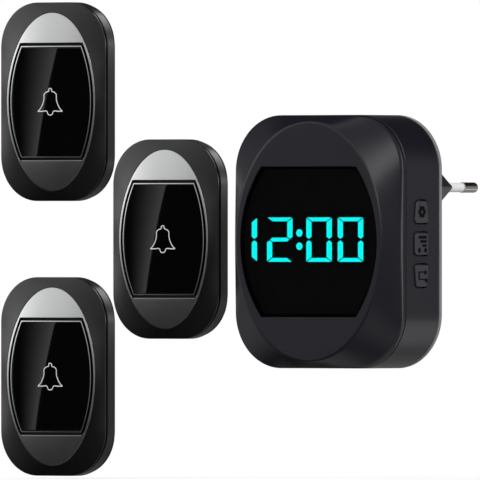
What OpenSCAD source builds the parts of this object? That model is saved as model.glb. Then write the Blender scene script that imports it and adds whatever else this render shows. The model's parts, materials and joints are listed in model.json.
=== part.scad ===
// Wireless doorbell set: one plug-in chime receiver with a clock display,
// and three alike push-button transmitters, all with their backs on one wall plane.
// Each unit is drawn in its own frame: x to the right, y up, z from the wall to the viewer.
// stand() sets that frame upright, so that +Z is up, the fronts face -Y and the wall is y = 0.
// All sizes are in millimetres.

/* [Layout] */
// Space between the receiver and the nearest transmitter
receiver_space = 20.5; // [10:0.5:40]
// Space between the two columns of transmitters
column_space = 3.75; // [2:0.25:20]
// Space between the upper and the lower transmitter
row_space = 29.5; // [10:0.5:50]
// Height of the transmitters' middle above the receiver's middle
row_shift = 1; // [-10:0.5:10]

/* [Receiver case] */
// Width of the receiver
receiver_w = 80; // [78:1:96]
// Height of the receiver
receiver_h = 97; // [94:1:116]
// Corner radius of the receiver's outline
receiver_corner_r = 21.5; // [18:0.5:22.5]
// Depth of the straight side wall
receiver_side_d = 23.6; // [22:0.1:30]
// How far the oval face stands in front of the outline
receiver_bevel_d = 6.5; // [5.5:0.25:8]
// Distance from the outline to the oval at the sides
oval_inset_x = 5; // [4:0.25:5.5]
// Distance from the outline to the oval at the top and the bottom
oval_inset_y = 2.5; // [2:0.25:4]
// Wall thickness of the receiver's case
receiver_wall = 2; // [1.6:0.1:2.4]
// Thickness of the wall behind the oval face
face_wall = 3.2; // [3:0.1:4]
// Depth of the rear cover's rim
rear_rim_d = 2.7; // [2.5:0.1:4]
// Thickness of the rear cover's plate
rear_plate_t = 2; // [1.6:0.1:2.4]
// Chamfer round the back edge of the rear cover
rear_chamfer = 1.2; // [0.4:0.1:1.6]
// Shadow gap between the rear cover and the housing
receiver_seam = 0.3; // [0.2:0.05:0.6]
// Height of the rear cover's lip inside the housing
rear_lip_h = 2; // [1:0.25:3]

/* [Receiver display] */
// Width of the display window across its bowed sides
window_w = 65; // [61:0.5:66]
// Height of the display window
window_h = 57.5; // [44:0.5:58]
// Radius of the window's bowed sides
window_bow_r = 46.5; // [42:0.5:60]
// Thickness of the display window
window_t = 2; // [1.5:0.1:2.2]
// Width of the ledge that the window rests on
window_ledge = 1.2; // [0.8:0.1:1.6]
// Gap round the window
window_gap = 0.15; // [0.1:0.05:0.3]
// Depth of the window behind the oval face
window_sink = 0.1; // [0:0.05:0.3]
// Place of the colon to the right of the middle
colon_x = -6; // [-7:0.2:-4]
// Height of the digits above the middle
digit_y = 0.8; // [-3:0.2:3]
// Height of a clock digit
digit_h = 17; // [14:0.5:19]
// Width of a clock digit
digit_w = 12; // [10:0.5:12.5]
// Stroke of a digit's upright segments
segment_w = 2.3; // [1.6:0.1:2.8]
// Stroke of a digit's level segments
bar_w = 1.5; // [1.2:0.1:2.4]
// Gap between neighbouring segments
segment_gap = 0.35; // [0.2:0.05:0.6]
// Distance between the two digits on the right
digit_pitch = 15; // [14:0.2:16]
// Distance between the two digits on the left
first_pitch = 17; // [15:0.2:17.2]
// Distance from the colon to the digits beside it
colon_pitch = 9.4; // [9:0.2:10.4]
// Diameter of a colon dot
colon_dot_d = 2.8; // [2:0.1:3.2]
// Distance from the window's sides to the display module
module_inset = 3.5; // [3:0.25:4]
// Depth of the display module
module_d = 7.3; // [6:0.1:8]
// Depth of the lit segments on the module's face
segment_t = 0.3; // [0.2:0.05:0.5]

/* [Side keys] */
// Width of a side key from front to back
key_w = 8.8; // [7:0.2:9.6]
// Height of a side key
key_h = 8.6; // [7:0.2:9.4]
// Distance between two side keys
key_pitch = 12.2; // [11.6:0.2:13]
// Height of the middle key above the middle of the case
key_row_y = -0.8; // [-2:0.2:2]
// How far the corners of an end key are drawn in at its outer end
key_taper = 0.9; // [0:0.1:1.4]
// Corner radius of a side key
key_corner_r = 1.3; // [0.8:0.1:2]
// Gap round a side key
key_gap = 0.5; // [0.4:0.05:0.7]
// How far a key stands out of the wall
key_proud = 0.6; // [0.5:0.1:1.2]
// Travel of a side key
key_travel = 0.4; // [0.2:0.05:0.5]

/* [Plug] */
// Distance from the receiver's right edge to the plug's middle
plug_edge = 19; // [18:0.5:24]
// Height of the plug above the middle of the case
plug_y = 20.8; // [19:0.2:22]
// Depth of the plug's boss
boss_d = 14.5; // [10:0.5:18]
// Width of the boss at the rear cover
boss_base_w = 34; // [32:0.5:35]
// Height of the boss at the rear cover
boss_base_h = 14; // [13:0.5:16]
// Width of the boss at its end
boss_end_w = 26; // [25.6:0.2:30]
// Height of the boss at its end
boss_end_h = 11; // [9:0.5:12]
// Distance between the pins
pin_pitch = 18.6; // [18:0.1:19]
// Diameter of a pin's bare end
pin_d = 4; // [3.9:0.02:4.1]
// Length of a pin outside the boss
pin_l = 19; // [18:0.25:20]
// Length of the sleeve outside the boss
sleeve_l = 10; // [8:0.25:11]
// Diameter of the sleeve
sleeve_d = 3.6; // [3.4:0.05:3.6]
// Diameter of the pin inside its sleeve
core_d = 2.8; // [2.4:0.1:3]

/* [Receiver inside] */
// Thickness of the main, power and key boards
board_t = 1.6; // [1.2:0.1:1.6]
// Diameter of the speaker
speaker_d = 36; // [28:1:38]
// Depth of the speaker
speaker_depth = 11; // [9:0.5:12]
// Height of the power board above the rear cover's plate
power_board_lift = 4; // [3.5:0.25:4.5]
// Diameter of the case screws' thread
case_screw_d = 2.2; // [2:0.1:2.6]
// Length of the case screws
case_screw_l = 11; // [8:0.5:14]
// Width of a slot in the speaker grille
grille_slot_w = 1.8; // [1.2:0.1:2.2]
// Distance between two grille slots
grille_pitch = 4; // [3.4:0.1:5]

/* [Transmitter case] */
// Width of a transmitter
transmitter_w = 51; // [48:0.5:60]
// Height of a transmitter
transmitter_h = 77; // [74:0.5:81]
// Corner radius of a transmitter's outline
transmitter_corner_r = 18; // [15:0.5:19]
// Depth of the visible side wall
transmitter_side_d = 5.2; // [4.6:0.1:6]
// How far the oval trim stands in front of the outline
transmitter_bevel_d = 1.7; // [1.5:0.1:2.4]
// Distance from the outline to the oval trim
trim_inset = 4; // [3.5:0.1:4.2]
// Wall thickness of a transmitter's case
transmitter_wall = 1.6; // [1.2:0.1:2]
// Depth of the rear cover
back_d = 3.5; // [3.5:0.1:4.5]
// How far the rear cover is drawn in at the wall
back_inset = 3; // [1.5:0.1:3.5]
// Thickness of the rear cover's plate
back_plate_t = 1.3; // [1:0.1:1.3]
// Thickness of the gasket between case and rear cover
gasket_t = 0.5; // [0.5:0.05:0.8]
// Shadow gap between bezel and case
transmitter_seam = 0.3; // [0.2:0.05:0.5]
// Distance between the wall screw holes
wall_screw_pitch = 60; // [56:0.5:62]
// Diameter of a wall screw hole
wall_screw_hole_d = 3.6; // [3.2:0.1:4.2]

/* [Push panel] */
// Distance from the oval trim's edge to the panel at the sides
panel_rim = 1.8; // [1.7:0.05:2.6]
// Distance from the oval trim's edge to the panel at the top and the bottom
panel_end = 12.8; // [11.6:0.1:15.6]
// Radius of the panel's bowed sides, as a share of the oval's radius there
panel_bow = 0.894; // [0.84:0.002:0.96]
// Gap round the push panel
panel_gap = 0.8; // [0.6:0.05:0.9]
// Travel of the push panel
panel_travel = 0.5; // [0.3:0.05:0.5]
// Radius of the panel's domed face
panel_dome_r = 500; // [400:10:900]
// How far the middle of the panel stands in front of the trim
panel_crown = 0.75; // [0.7:0.05:1]
// Thickness of the silver trim plate
trim_t = 0.8; // [0.6:0.05:0.8]

/* [Transmitter inside] */
// Thickness of the transmitter's board
small_board_t = 1; // [0.8:0.1:1]
// Diameter of the coin cell
cell_d = 20; // [16:0.5:20]
// Thickness of the coin cell
cell_t = 3.2; // [2.5:0.1:3.2]
// How far the coin cell hangs over the board's lower end
cell_overhang = 0.6; // [0.1:0.1:1]

/* [Drawing] */
// Which piece to draw

/* [Hidden] */
$fn = 64;
slab = 0.02;
fit = 0.05;

TRANSMITTER_PIECES = [
  "rear_cover", "gasket", "body_case", "bezel", "trim_plate", "push_panel",
  "board", "tact_switch", "switch_plunger", "coin_cell", "battery_clip"
];

function piece(i, name) = str("transmitter_", i + 1, "_", name);

// Depth of the receiver, counted from the wall
housing_z = rear_rim_d + receiver_seam;
outline_z = housing_z + receiver_side_d;
face_z = outline_z + receiver_bevel_d;
face_inner_z = face_z - face_wall;
reach = receiver_side_d + boss_d;
window_back_z = face_z - window_sink - window_t;
module_z = face_inner_z - 0.1;
main_board_z = module_z - module_d - board_t;
oval_a = receiver_w / 2 - oval_inset_x;
oval_c = receiver_h / 2 - oval_inset_y;

// Posts for the case screws, in the corners of the receiver
post_r = 3.4;
post_reach = (receiver_corner_r - receiver_wall - post_r + 0.4) / sqrt(2);
post_x = receiver_w / 2 - receiver_corner_r + post_reach;
post_y = receiver_h / 2 - receiver_corner_r + post_reach;
screw_head_r = 2.4;
screw_head_h = 1.2;
screw_sink = 1.3;

// Main board, and the stand-offs it is screwed to
main_board_w = receiver_w - 2 * receiver_wall - 9;
main_board_h = 2 * (post_y - post_r) - 1;
standoff_x = main_board_w / 2 - 4;
standoff_y = main_board_h / 2 - 4;
standoff_r = 2.6;
board_screw_r = 1;
board_screw_l = 4;
board_head_r = 1.9;
board_head_h = 1.5;

// Radio module on the main board, with its chip and its aerial coil
radio_w = 14;
radio_h = 18;
radio_t = 1;
chip_w = 10;
chip_t = 1.6;
chip_margin = (radio_w - chip_w) / 2;
radio_x = -standoff_x + standoff_r + 2.4;
radio_y = standoff_y - standoff_r - 3.4 - radio_h;
coil_r = 2.4;
coil_wire_r = 0.4;
coil_turns = 7;
coil_pitch = 2;
coil_steps = 14;
coil_sides = 6;

// Digits of the clock, counted from the left
digit_x = [
  colon_x - colon_pitch - first_pitch,
  colon_x - colon_pitch,
  colon_x + colon_pitch,
  colon_x + colon_pitch + digit_pitch
];
digit_segments = ["bc", "abged", "abcdef", "abcdef"];
module_w = window_w - 2 * module_inset;
module_h = digit_h + 5;

// Side keys, counted along x from the outer face of the right wall
key_z = housing_z + receiver_side_d / 2;
key_wall_x = receiver_w / 2;
key_flange_gap = 0.15;
key_flange_t = 0.8;
key_flange_w = 0.5;
key_stem_l = 0.5;
key_stem_r = 1.5;
key_flange_x = key_wall_x - receiver_wall - key_flange_gap - key_flange_t;
key_stem_x = key_flange_x - key_stem_l;
plunger_out = 1;
plunger_in = 1.2;
plunger_r = 1.65;
switch_bore_r = 1.8;
switch_size = 6;
switch_h = 3;
switch_x = key_stem_x - plunger_out - switch_h;
key_board_x = switch_x - board_t;
key_board_h = 2 * key_pitch + 9;
key_board_w = main_board_z - (key_z - switch_size / 2 - 2.5);

// Plug, with its middle on the rear cover
plug_x = receiver_w / 2 - plug_edge;
boss_point = 7.5;
boss_end_point = 5;
pin_r = pin_d / 2;
pin_inside = power_board_lift + rear_plate_t + board_t + 0.6;
sleeve_inside = 3;
pin_bore_r = sleeve_d / 2 + fit;

// Speaker behind the grille
speaker_r = speaker_d / 2;
speaker_x = -4;
speaker_y = plug_y - boss_base_h / 2 - speaker_r - 5;
seat_t = 1.2;
seat_h = 2.5;
magnet_r = speaker_r * 0.52;
magnet_h = speaker_depth * 0.4;
frame_rim_h = 1.4;
frame_rim_w = 2.6;
surround_w = 1.8;
cone_z = 0.2;
cone_t = 0.5;
cone_d = 3.2;
cone_cap_r = 4;
grille_rows = floor((speaker_r - 4) / grille_pitch);

// Power board above the plug
power_board_z = rear_plate_t + power_board_lift;
power_board_w = pin_pitch + 11;
power_board_low = plug_y - 6;
power_board_high = post_y - post_r - 0.7;
power_z = power_board_z + board_t;
power_part_y = plug_y + 4;
power_part_h = 9;
film_w = 13;
film_d = 6;
storage_d = 6.3;

// Depth of a transmitter, counted from the wall
case_z = back_d + gasket_t;
case_top_z = case_z + transmitter_side_d;
bezel_z = case_top_z + transmitter_seam;
trim_z = bezel_z + transmitter_bevel_d;
deck_top_z = case_top_z - 0.4;
deck_t = 1.1;
deck_z = deck_top_z - deck_t;
trim_a = transmitter_w / 2 - trim_inset;
trim_c = transmitter_h / 2 - trim_inset;
panel_w = 2 * (trim_a - panel_rim);
panel_h = 2 * (trim_c - panel_end);
panel_bow_r = panel_bow * trim_c * trim_c / trim_a;
trim_gap = 0.1;
panel_flange_w = 0.7;
panel_flange_top_z = trim_z - trim_t - 0.1;
panel_bottom_z = deck_top_z + panel_travel + 0.3;
panel_well_grow = panel_flange_w + 0.3;

// Board, switch and cell of a transmitter
cell_z = back_plate_t + 0.05;
clip_t = 0.25;
clip_z = cell_z + cell_t + 0.05;
small_board_z = clip_z + clip_t;
small_board_top_z = small_board_z + small_board_t;
small_switch_h = deck_z - small_board_top_z - 0.1;
small_switch_top_z = small_board_top_z + small_switch_h;
small_plunger_in = 0.35;
small_plunger_r = 1.6;
small_bore_r = 1.75;
small_bore_d = small_plunger_in + panel_travel + 0.05;
pusher_r = 1.5;
pusher_z = deck_top_z;
small_board_w = transmitter_w - 2 * transmitter_wall - 5;
small_board_room = 11.5;
small_board_h = transmitter_h - 2 * (transmitter_wall + small_board_room);
cell_drop = small_board_h / 2 + cell_overhang - cell_d / 2;
clip_w = 8;
clip_gap = 0.3;
stake_x = small_board_w / 2 - 3;
stake_y = small_board_h / 2 - 3;
stake_r = 1.4;
stake_pin_r = 0.8;

// Where the units stand on the wall
near_x = -(receiver_w / 2 + receiver_space + transmitter_w / 2);
far_x = near_x - transmitter_w - column_space;
row_y = (transmitter_h + row_space) / 2;
transmitter_at = [
  [far_x, row_shift + row_y],
  [near_x, row_shift],
  [far_x, row_shift - row_y]
];

// Shapes used by several pieces

module rounded(w, h, r) {
  square([w - 2 * r, h], center = true);
  square([w, h - 2 * r], center = true);
  for (sx = [-1, 1], sy = [-1, 1])
    translate([sx * (w / 2 - r), sy * (h / 2 - r)])
      circle(r = r);
}

module oval(a, c) {
  scale([a / c, 1])
    circle(r = c, $fn = 96);
}

module barrel(w, h, r) {
  intersection() {
    square([w, h], center = true);
    translate([w / 2 - r, 0])
      circle(r = r, $fn = 160);
    translate([r - w / 2, 0])
      circle(r = r, $fn = 160);
  }
}

module slot(l, w) {
  square([l - w, w], center = true);
  for (s = [-1, 1])
    translate([s * (l - w) / 2, 0])
      circle(d = w, $fn = 24);
}

module post(r, z0, z1) {
  translate([0, 0, z0])
    cylinder(r = r, h = z1 - z0, $fn = 32);
}

module each_corner(x, y) {
  for (sx = [-1, 1], sy = [-1, 1])
    translate([sx * x, sy * y])
      children();
}

module stand(x, y) {
  translate([x, 0, y])
    rotate([90, 0, 0])
      children();
}

// Receiver: case

module receiver_outline(inset) {
  rounded(receiver_w - 2 * inset, receiver_h - 2 * inset, receiver_corner_r - inset);
}

module receiver_form(inset, start_z, edge_z, front_z) {
  hull() {
    translate([0, 0, start_z])
      linear_extrude(edge_z - start_z)
        receiver_outline(inset);
    translate([0, 0, front_z - slab])
      linear_extrude(slab)
        oval(oval_a - inset, oval_c - inset);
  }
}

module key_shape(end, grow) {
  hull()
    for (sx = [-1, 1], sy = [-1, 1])
      translate([
        sx * (key_w / 2 - key_corner_r - (sy == end ? key_taper : 0)),
        sy * (key_h / 2 - key_corner_r)
      ])
        circle(r = key_corner_r + grow, $fn = 32);
}

module key_prism(end, grow, x0, x1) {
  translate([x0, key_row_y + end * key_pitch, key_z])
    rotate([0, 90, 0])
      linear_extrude(x1 - x0)
        key_shape(end, grow);
}

module receiver_housing() {
  color([0.05, 0.05, 0.055])
    difference() {
      union() {
        difference() {
          receiver_form(0, housing_z, outline_z, face_z);
          receiver_form(
            receiver_wall, housing_z - 1, outline_z + receiver_wall - face_wall, face_inner_z
          );
        }
        intersection() {
          union() {
            each_corner(post_x, post_y)
              post(post_r, rear_plate_t, face_z);
            each_corner(standoff_x, standoff_y)
              post(standoff_r, main_board_z + board_t, face_z);
          }
          receiver_form(receiver_wall / 2, rear_plate_t, outline_z - 0.6, face_z - 1.2);
        }
      }
      translate([0, 0, window_back_z])
        linear_extrude(reach)
          barrel(window_w + 2 * window_gap, window_h + 2 * window_gap, window_bow_r + window_gap);
      translate([0, 0, main_board_z])
        linear_extrude(reach)
          barrel(window_w - 2 * window_ledge, window_h - 2 * window_ledge, window_bow_r - window_ledge);
      for (end = [-1, 0, 1])
        key_prism(end, key_gap, key_wall_x - receiver_wall - 1, key_wall_x + 1);
      each_corner(post_x, post_y)
        post(case_screw_d / 2 + fit, 0, rear_plate_t + case_screw_l);
      each_corner(standoff_x, standoff_y)
        post(board_screw_r + fit, main_board_z, main_board_z + board_t + board_screw_l);
    }
}

module plug_hexagon(w, h, point) {
  polygon([
    [-w / 2, 0],
    [-w / 2 + point, h / 2],
    [w / 2 - point, h / 2],
    [w / 2, 0],
    [w / 2 - point, -h / 2],
    [-w / 2 + point, -h / 2]
  ]);
}

module plug_boss() {
  translate([plug_x, plug_y, 0])
    hull() {
      linear_extrude(rear_plate_t)
        plug_hexagon(boss_base_w, boss_base_h, boss_point);
      translate([0, 0, -boss_d])
        linear_extrude(slab)
          plug_hexagon(boss_end_w, boss_end_h, boss_end_point);
    }
}

module each_pin() {
  for (s = [-1, 1])
    translate([plug_x + s * pin_pitch / 2, plug_y, 0])
      children();
}

module receiver_rear_cover() {
  lip_inset = receiver_wall + 0.2;
  color([0.16, 0.16, 0.17])
    difference() {
      union() {
        difference() {
          hull() {
            linear_extrude(slab)
              receiver_outline(rear_chamfer);
            translate([0, 0, rear_chamfer])
              linear_extrude(rear_rim_d - rear_chamfer)
                receiver_outline(0);
          }
          translate([0, 0, rear_plate_t])
            linear_extrude(reach)
              receiver_outline(lip_inset);
        }
        difference() {
          translate([0, 0, rear_plate_t])
            linear_extrude(housing_z + rear_lip_h - rear_plate_t)
              receiver_outline(lip_inset);
          translate([0, 0, rear_plate_t])
            linear_extrude(reach)
              receiver_outline(lip_inset + 1.2);
        }
        translate([speaker_x, speaker_y, rear_plate_t])
          difference() {
            cylinder(r = speaker_r + 0.2 + seat_t, h = seat_h);
            translate([0, 0, -1])
              cylinder(r = speaker_r + 0.2, h = seat_h + 2);
          }
        plug_boss();
      }
      each_corner(post_x, post_y) {
        post(case_screw_d / 2 + 0.15, -1, reach);
        post(screw_head_r + 0.2, -1, screw_sink);
        post(post_r + 0.3, rear_plate_t, reach);
      }
      each_pin()
        post(pin_bore_r, -boss_d - 1, reach);
      intersection() {
        for (k = [-grille_rows : grille_rows])
          translate([speaker_x, speaker_y + k * grille_pitch, -1])
            linear_extrude(rear_plate_t + 1.01)
              slot(2 * sqrt(pow(speaker_r - 3, 2) - pow(k * grille_pitch, 2)), grille_slot_w);
        translate([speaker_x, speaker_y, -1])
          cylinder(r = speaker_r, h = rear_plate_t + 1.01);
      }
    }
}

module case_screw() {
  post(case_screw_d / 2, screw_sink, rear_plate_t + case_screw_l - 0.5);
  difference() {
    post(screw_head_r, screw_sink - screw_head_h, screw_sink);
    for (a = [0, 90])
      rotate([0, 0, a])
        translate([-1.3, -0.3, screw_sink - screw_head_h - 1])
          cube([2.6, 0.6, 1.7]);
  }
}

module case_screws() {
  color([0.6, 0.6, 0.62])
    each_corner(post_x, post_y)
      case_screw();
}

// Receiver: display

module display_window() {
  color([0.02, 0.02, 0.025])
    translate([0, 0, window_back_z])
      linear_extrude(window_t)
        barrel(window_w, window_h, window_bow_r);
}

module display_module() {
  color([0.04, 0.04, 0.045])
    translate([-module_w / 2, digit_y - module_h / 2, module_z - module_d])
      cube([module_w, module_h, module_d]);
}

// A level segment on the digit's edge has its full length on the outer side
module level_edge() {
  polygon([
    [segment_gap - digit_w / 2, digit_h / 2],
    [digit_w / 2 - segment_gap, digit_h / 2],
    [digit_w / 2 - segment_w - segment_gap, digit_h / 2 - bar_w],
    [segment_w + segment_gap - digit_w / 2, digit_h / 2 - bar_w]
  ]);
}

// The level segment in the middle is pointed at both ends
module level_middle() {
  tip = digit_w / 2 - segment_w / 2 - segment_gap;
  shoulder = tip - segment_w / 2;
  polygon([
    [-tip, 0],
    [-shoulder, bar_w / 2],
    [shoulder, bar_w / 2],
    [tip, 0],
    [shoulder, -bar_w / 2],
    [-shoulder, -bar_w / 2]
  ]);
}

// The upright segment at the upper right is pointed at the middle and mitred at the top
module upright() {
  inner = digit_w / 2 - segment_w;
  shoulder = segment_gap + bar_w / 2;
  polygon([
    [digit_w / 2 - segment_w / 2, segment_gap],
    [digit_w / 2, shoulder],
    [digit_w / 2, digit_h / 2 - segment_gap],
    [inner, digit_h / 2 - bar_w - segment_gap],
    [inner, shoulder]
  ]);
}

module digit(lit) {
  if (len(search("a", lit)) > 0)
    level_edge();
  if (len(search("d", lit)) > 0)
    mirror([0, 1])
      level_edge();
  if (len(search("g", lit)) > 0)
    level_middle();
  if (len(search("b", lit)) > 0)
    upright();
  if (len(search("c", lit)) > 0)
    mirror([0, 1])
      upright();
  if (len(search("f", lit)) > 0)
    mirror([1, 0])
      upright();
  if (len(search("e", lit)) > 0)
    mirror([1, 0])
      mirror([0, 1])
        upright();
}

module display_segments() {
  color([0, 0.95, 0.9])
    translate([0, digit_y, module_z])
      linear_extrude(segment_t) {
        for (i = [0 : 3])
          translate([digit_x[i], 0])
            digit(digit_segments[i]);
        for (s = [-1, 1])
          translate([colon_x, s * digit_h * 0.15])
            circle(d = colon_dot_d, $fn = 32);
      }
}

// Receiver: boards and what they carry

module main_board() {
  color([0.05, 0.25, 0.12])
    difference() {
      translate([0, 0, main_board_z])
        linear_extrude(board_t)
          rounded(main_board_w, main_board_h, 2);
      each_corner(standoff_x, standoff_y)
        post(board_screw_r + 0.15, main_board_z - 1, reach);
    }
}

module board_screws() {
  color([0.6, 0.6, 0.62])
    each_corner(standoff_x, standoff_y) {
      post(board_screw_r, main_board_z, main_board_z + board_t + board_screw_l - 0.3);
      post(board_head_r, main_board_z - board_head_h, main_board_z);
    }
}

module radio_module() {
  color([0.1, 0.2, 0.45])
    translate([radio_x, radio_y, main_board_z - radio_t]) {
      cube([radio_w, radio_h, radio_t]);
      translate([chip_margin, chip_margin, -chip_t])
        cube([chip_w, chip_w, chip_t]);
    }
}

function coil_ring(t) = [
  for (k = [0 : coil_sides - 1])
    let (
      a = 360 * k / coil_sides,
      out = coil_r + coil_wire_r * cos(a)
    )
      [out * cos(360 * t), out * sin(360 * t), coil_pitch * t + coil_wire_r * sin(a)]
];

module antenna_coil() {
  n = coil_turns * coil_steps;
  points = [for (i = [0 : n]) each coil_ring(i / coil_steps)];
  sides = [
    for (i = [0 : n - 1], k = [0 : coil_sides - 1])
      let (
        a = i * coil_sides + k,
        b = i * coil_sides + (k + 1) % coil_sides
      )
        [a, b, b + coil_sides, a + coil_sides]
  ];
  first = [[for (k = [coil_sides - 1 : -1 : 0]) k]];
  last = [[for (k = [0 : coil_sides - 1]) n * coil_sides + k]];
  color([0.75, 0.45, 0.25])
    translate([radio_x + radio_w / 2, radio_y - coil_pitch, main_board_z - coil_r - coil_wire_r])
      rotate([90, 0, 0])
        polyhedron(points = points, faces = concat(sides, first, last), convexity = 8);
}

module side_key_board() {
  color([0.05, 0.25, 0.12])
    translate([key_board_x, key_row_y - key_board_h / 2, main_board_z - key_board_w])
      cube([board_t, key_board_h, key_board_w]);
}

module key_switch(end) {
  translate([switch_x, key_row_y + end * key_pitch, key_z])
    rotate([0, 90, 0])
      difference() {
        translate([-switch_size / 2, -switch_size / 2, 0])
          cube([switch_size, switch_size, switch_h]);
        post(switch_bore_r, switch_h - plunger_in - key_travel - 0.3, switch_h + 1);
      }
}

module key_switches() {
  color([0.2, 0.2, 0.22])
    for (end = [-1, 0, 1])
      key_switch(end);
}

module key_plunger(end) {
  color([0.12, 0.12, 0.13])
    translate([switch_x, key_row_y + end * key_pitch, key_z])
      rotate([0, 90, 0])
        post(plunger_r, switch_h - plunger_in, switch_h + plunger_out);
}

module side_key(end) {
  color([0.12, 0.12, 0.13]) {
    key_prism(end, 0, key_flange_x, key_wall_x + key_proud);
    key_prism(end, key_gap + key_flange_w, key_flange_x, key_flange_x + key_flange_t);
    translate([key_stem_x, key_row_y + end * key_pitch, key_z])
      rotate([0, 90, 0])
        post(key_stem_r, 0, key_stem_l + 0.1);
  }
}

module upper_key() {
  side_key(1);
}

module middle_key() {
  side_key(0);
}

module lower_key() {
  side_key(-1);
}

module upper_key_plunger() {
  key_plunger(1);
}

module middle_key_plunger() {
  key_plunger(0);
}

module lower_key_plunger() {
  key_plunger(-1);
}

// Receiver: speaker, facing the grille in the rear cover

module on_speaker() {
  translate([speaker_x, speaker_y, rear_plate_t])
    children();
}

module speaker_frame() {
  color([0.3, 0.3, 0.32])
    on_speaker()
      rotate_extrude()
        polygon([
          [speaker_r - frame_rim_w, 0],
          [speaker_r, 0],
          [speaker_r, frame_rim_h],
          [speaker_r - 1.6, frame_rim_h],
          [magnet_r + 0.8, speaker_depth - magnet_h],
          [3, speaker_depth - magnet_h],
          [3, speaker_depth - magnet_h - 0.8],
          [magnet_r + 0.2, speaker_depth - magnet_h - 0.8],
          [speaker_r - frame_rim_w, frame_rim_h - 0.4]
        ]);
}

module speaker_cone() {
  color([0.08, 0.08, 0.08])
    on_speaker()
      rotate_extrude()
        polygon([
          [0, cone_z + cone_d - 2 * cone_t],
          [cone_cap_r, cone_z + cone_d],
          [speaker_r - frame_rim_w - surround_w, cone_z],
          [speaker_r - frame_rim_w, cone_z],
          [speaker_r - frame_rim_w, cone_z + cone_t],
          [speaker_r - frame_rim_w - surround_w + 0.2, cone_z + cone_t],
          [cone_cap_r + 0.4, cone_z + cone_d + cone_t],
          [cone_cap_r - 0.6, cone_z + cone_d + cone_t],
          [0, cone_z + cone_d - cone_t]
        ]);
}

module speaker_magnet() {
  color([0.22, 0.22, 0.22])
    on_speaker()
      post(magnet_r, speaker_depth - magnet_h, speaker_depth);
}

// Receiver: power supply and plug

module power_board() {
  color([0.35, 0.28, 0.08])
    difference() {
      translate([plug_x - power_board_w / 2, power_board_low, power_board_z])
        cube([power_board_w, power_board_high - power_board_low, board_t]);
      each_pin()
        post(core_d / 2 + fit, 0, reach);
    }
}

module film_capacitor() {
  color([0.75, 0.6, 0.1])
    translate([plug_x - power_board_w / 2 + 2, power_part_y, power_z])
      cube([film_w, film_d, power_part_h]);
}

module storage_capacitor() {
  color([0.1, 0.12, 0.3])
    translate([plug_x + 5, power_part_y + film_d / 2, 0])
      post(storage_d / 2, power_z, power_z + power_part_h);
}

module plug_pins() {
  bare_z = -boss_d - sleeve_l;
  tip_z = -boss_d - pin_l;
  color([0.8, 0.8, 0.78])
    each_pin()
      rotate_extrude()
        polygon([
          [0, tip_z],
          [pin_r * 0.45, tip_z],
          [pin_r * 0.8, tip_z + pin_r * 0.25],
          [pin_r, tip_z + pin_r * 0.8],
          [pin_r, bare_z],
          [core_d / 2, bare_z],
          [core_d / 2, pin_inside],
          [0, pin_inside]
        ]);
}

module pin_sleeves() {
  color([0.92, 0.92, 0.9])
    each_pin()
      difference() {
        post(sleeve_d / 2, -boss_d - sleeve_l, power_board_z);
        post(core_d / 2 + fit, -boss_d - sleeve_l - 1, reach);
      }
}

// Transmitter: case

module transmitter_outline(inset) {
  rounded(transmitter_w - 2 * inset, transmitter_h - 2 * inset, transmitter_corner_r - inset);
}

module each_wall_screw() {
  for (s = [-1, 1])
    translate([0, s * wall_screw_pitch / 2])
      children();
}

module rear_cover() {
  color([0.07, 0.07, 0.075])
    difference() {
      hull() {
        linear_extrude(slab)
          transmitter_outline(back_inset);
        translate([0, 0, back_d - slab])
          linear_extrude(slab)
            transmitter_outline(0.5);
      }
      translate([0, 0, back_plate_t])
        linear_extrude(reach)
          transmitter_outline(back_inset + 0.8);
      each_wall_screw()
        post(wall_screw_hole_d / 2, -1, reach);
    }
}

module gasket() {
  color([0.03, 0.03, 0.03])
    translate([0, 0, back_d])
      linear_extrude(gasket_t)
        difference() {
          transmitter_outline(0.8);
          transmitter_outline(transmitter_wall);
        }
}

module body_case() {
  color([0.17, 0.17, 0.18])
    difference() {
      union() {
        difference() {
          translate([0, 0, case_z])
            linear_extrude(transmitter_side_d)
              transmitter_outline(0);
          translate([0, 0, case_z - 1])
            linear_extrude(deck_z - case_z + 1)
              transmitter_outline(transmitter_wall);
          translate([0, 0, deck_top_z])
            linear_extrude(reach)
              transmitter_outline(transmitter_wall);
        }
        each_corner(stake_x, stake_y) {
          post(stake_r, small_board_top_z, deck_z + 0.2);
          post(stake_pin_r, small_board_z, deck_z + 0.2);
        }
      }
      post(small_plunger_r + 0.5, 0, reach);
    }
}

module bezel() {
  color([0.05, 0.05, 0.055])
    difference() {
      union() {
        hull() {
          translate([0, 0, bezel_z])
            linear_extrude(slab)
              transmitter_outline(0);
          translate([0, 0, trim_z - slab])
            linear_extrude(slab)
              oval(trim_a + 0.3, trim_c + 0.3);
        }
        translate([0, 0, deck_top_z])
          linear_extrude(bezel_z - deck_top_z + slab / 2)
            transmitter_outline(transmitter_wall + 0.15);
      }
      translate([0, 0, trim_z - trim_t])
        linear_extrude(reach)
          oval(trim_a + trim_gap, trim_c + trim_gap);
      linear_extrude(trim_z - trim_t + slab)
        barrel(
          panel_w + 2 * (panel_gap + panel_well_grow),
          panel_h + 2 * (panel_gap + panel_well_grow),
          panel_bow_r + panel_gap + panel_well_grow
        );
    }
}

module trim_plate() {
  color([0.7, 0.71, 0.72])
    translate([0, 0, trim_z - trim_t])
      linear_extrude(trim_t)
        difference() {
          oval(trim_a, trim_c);
          barrel(panel_w + 2 * panel_gap, panel_h + 2 * panel_gap, panel_bow_r + panel_gap);
        }
}

// Transmitter: push panel and what it presses

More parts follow.
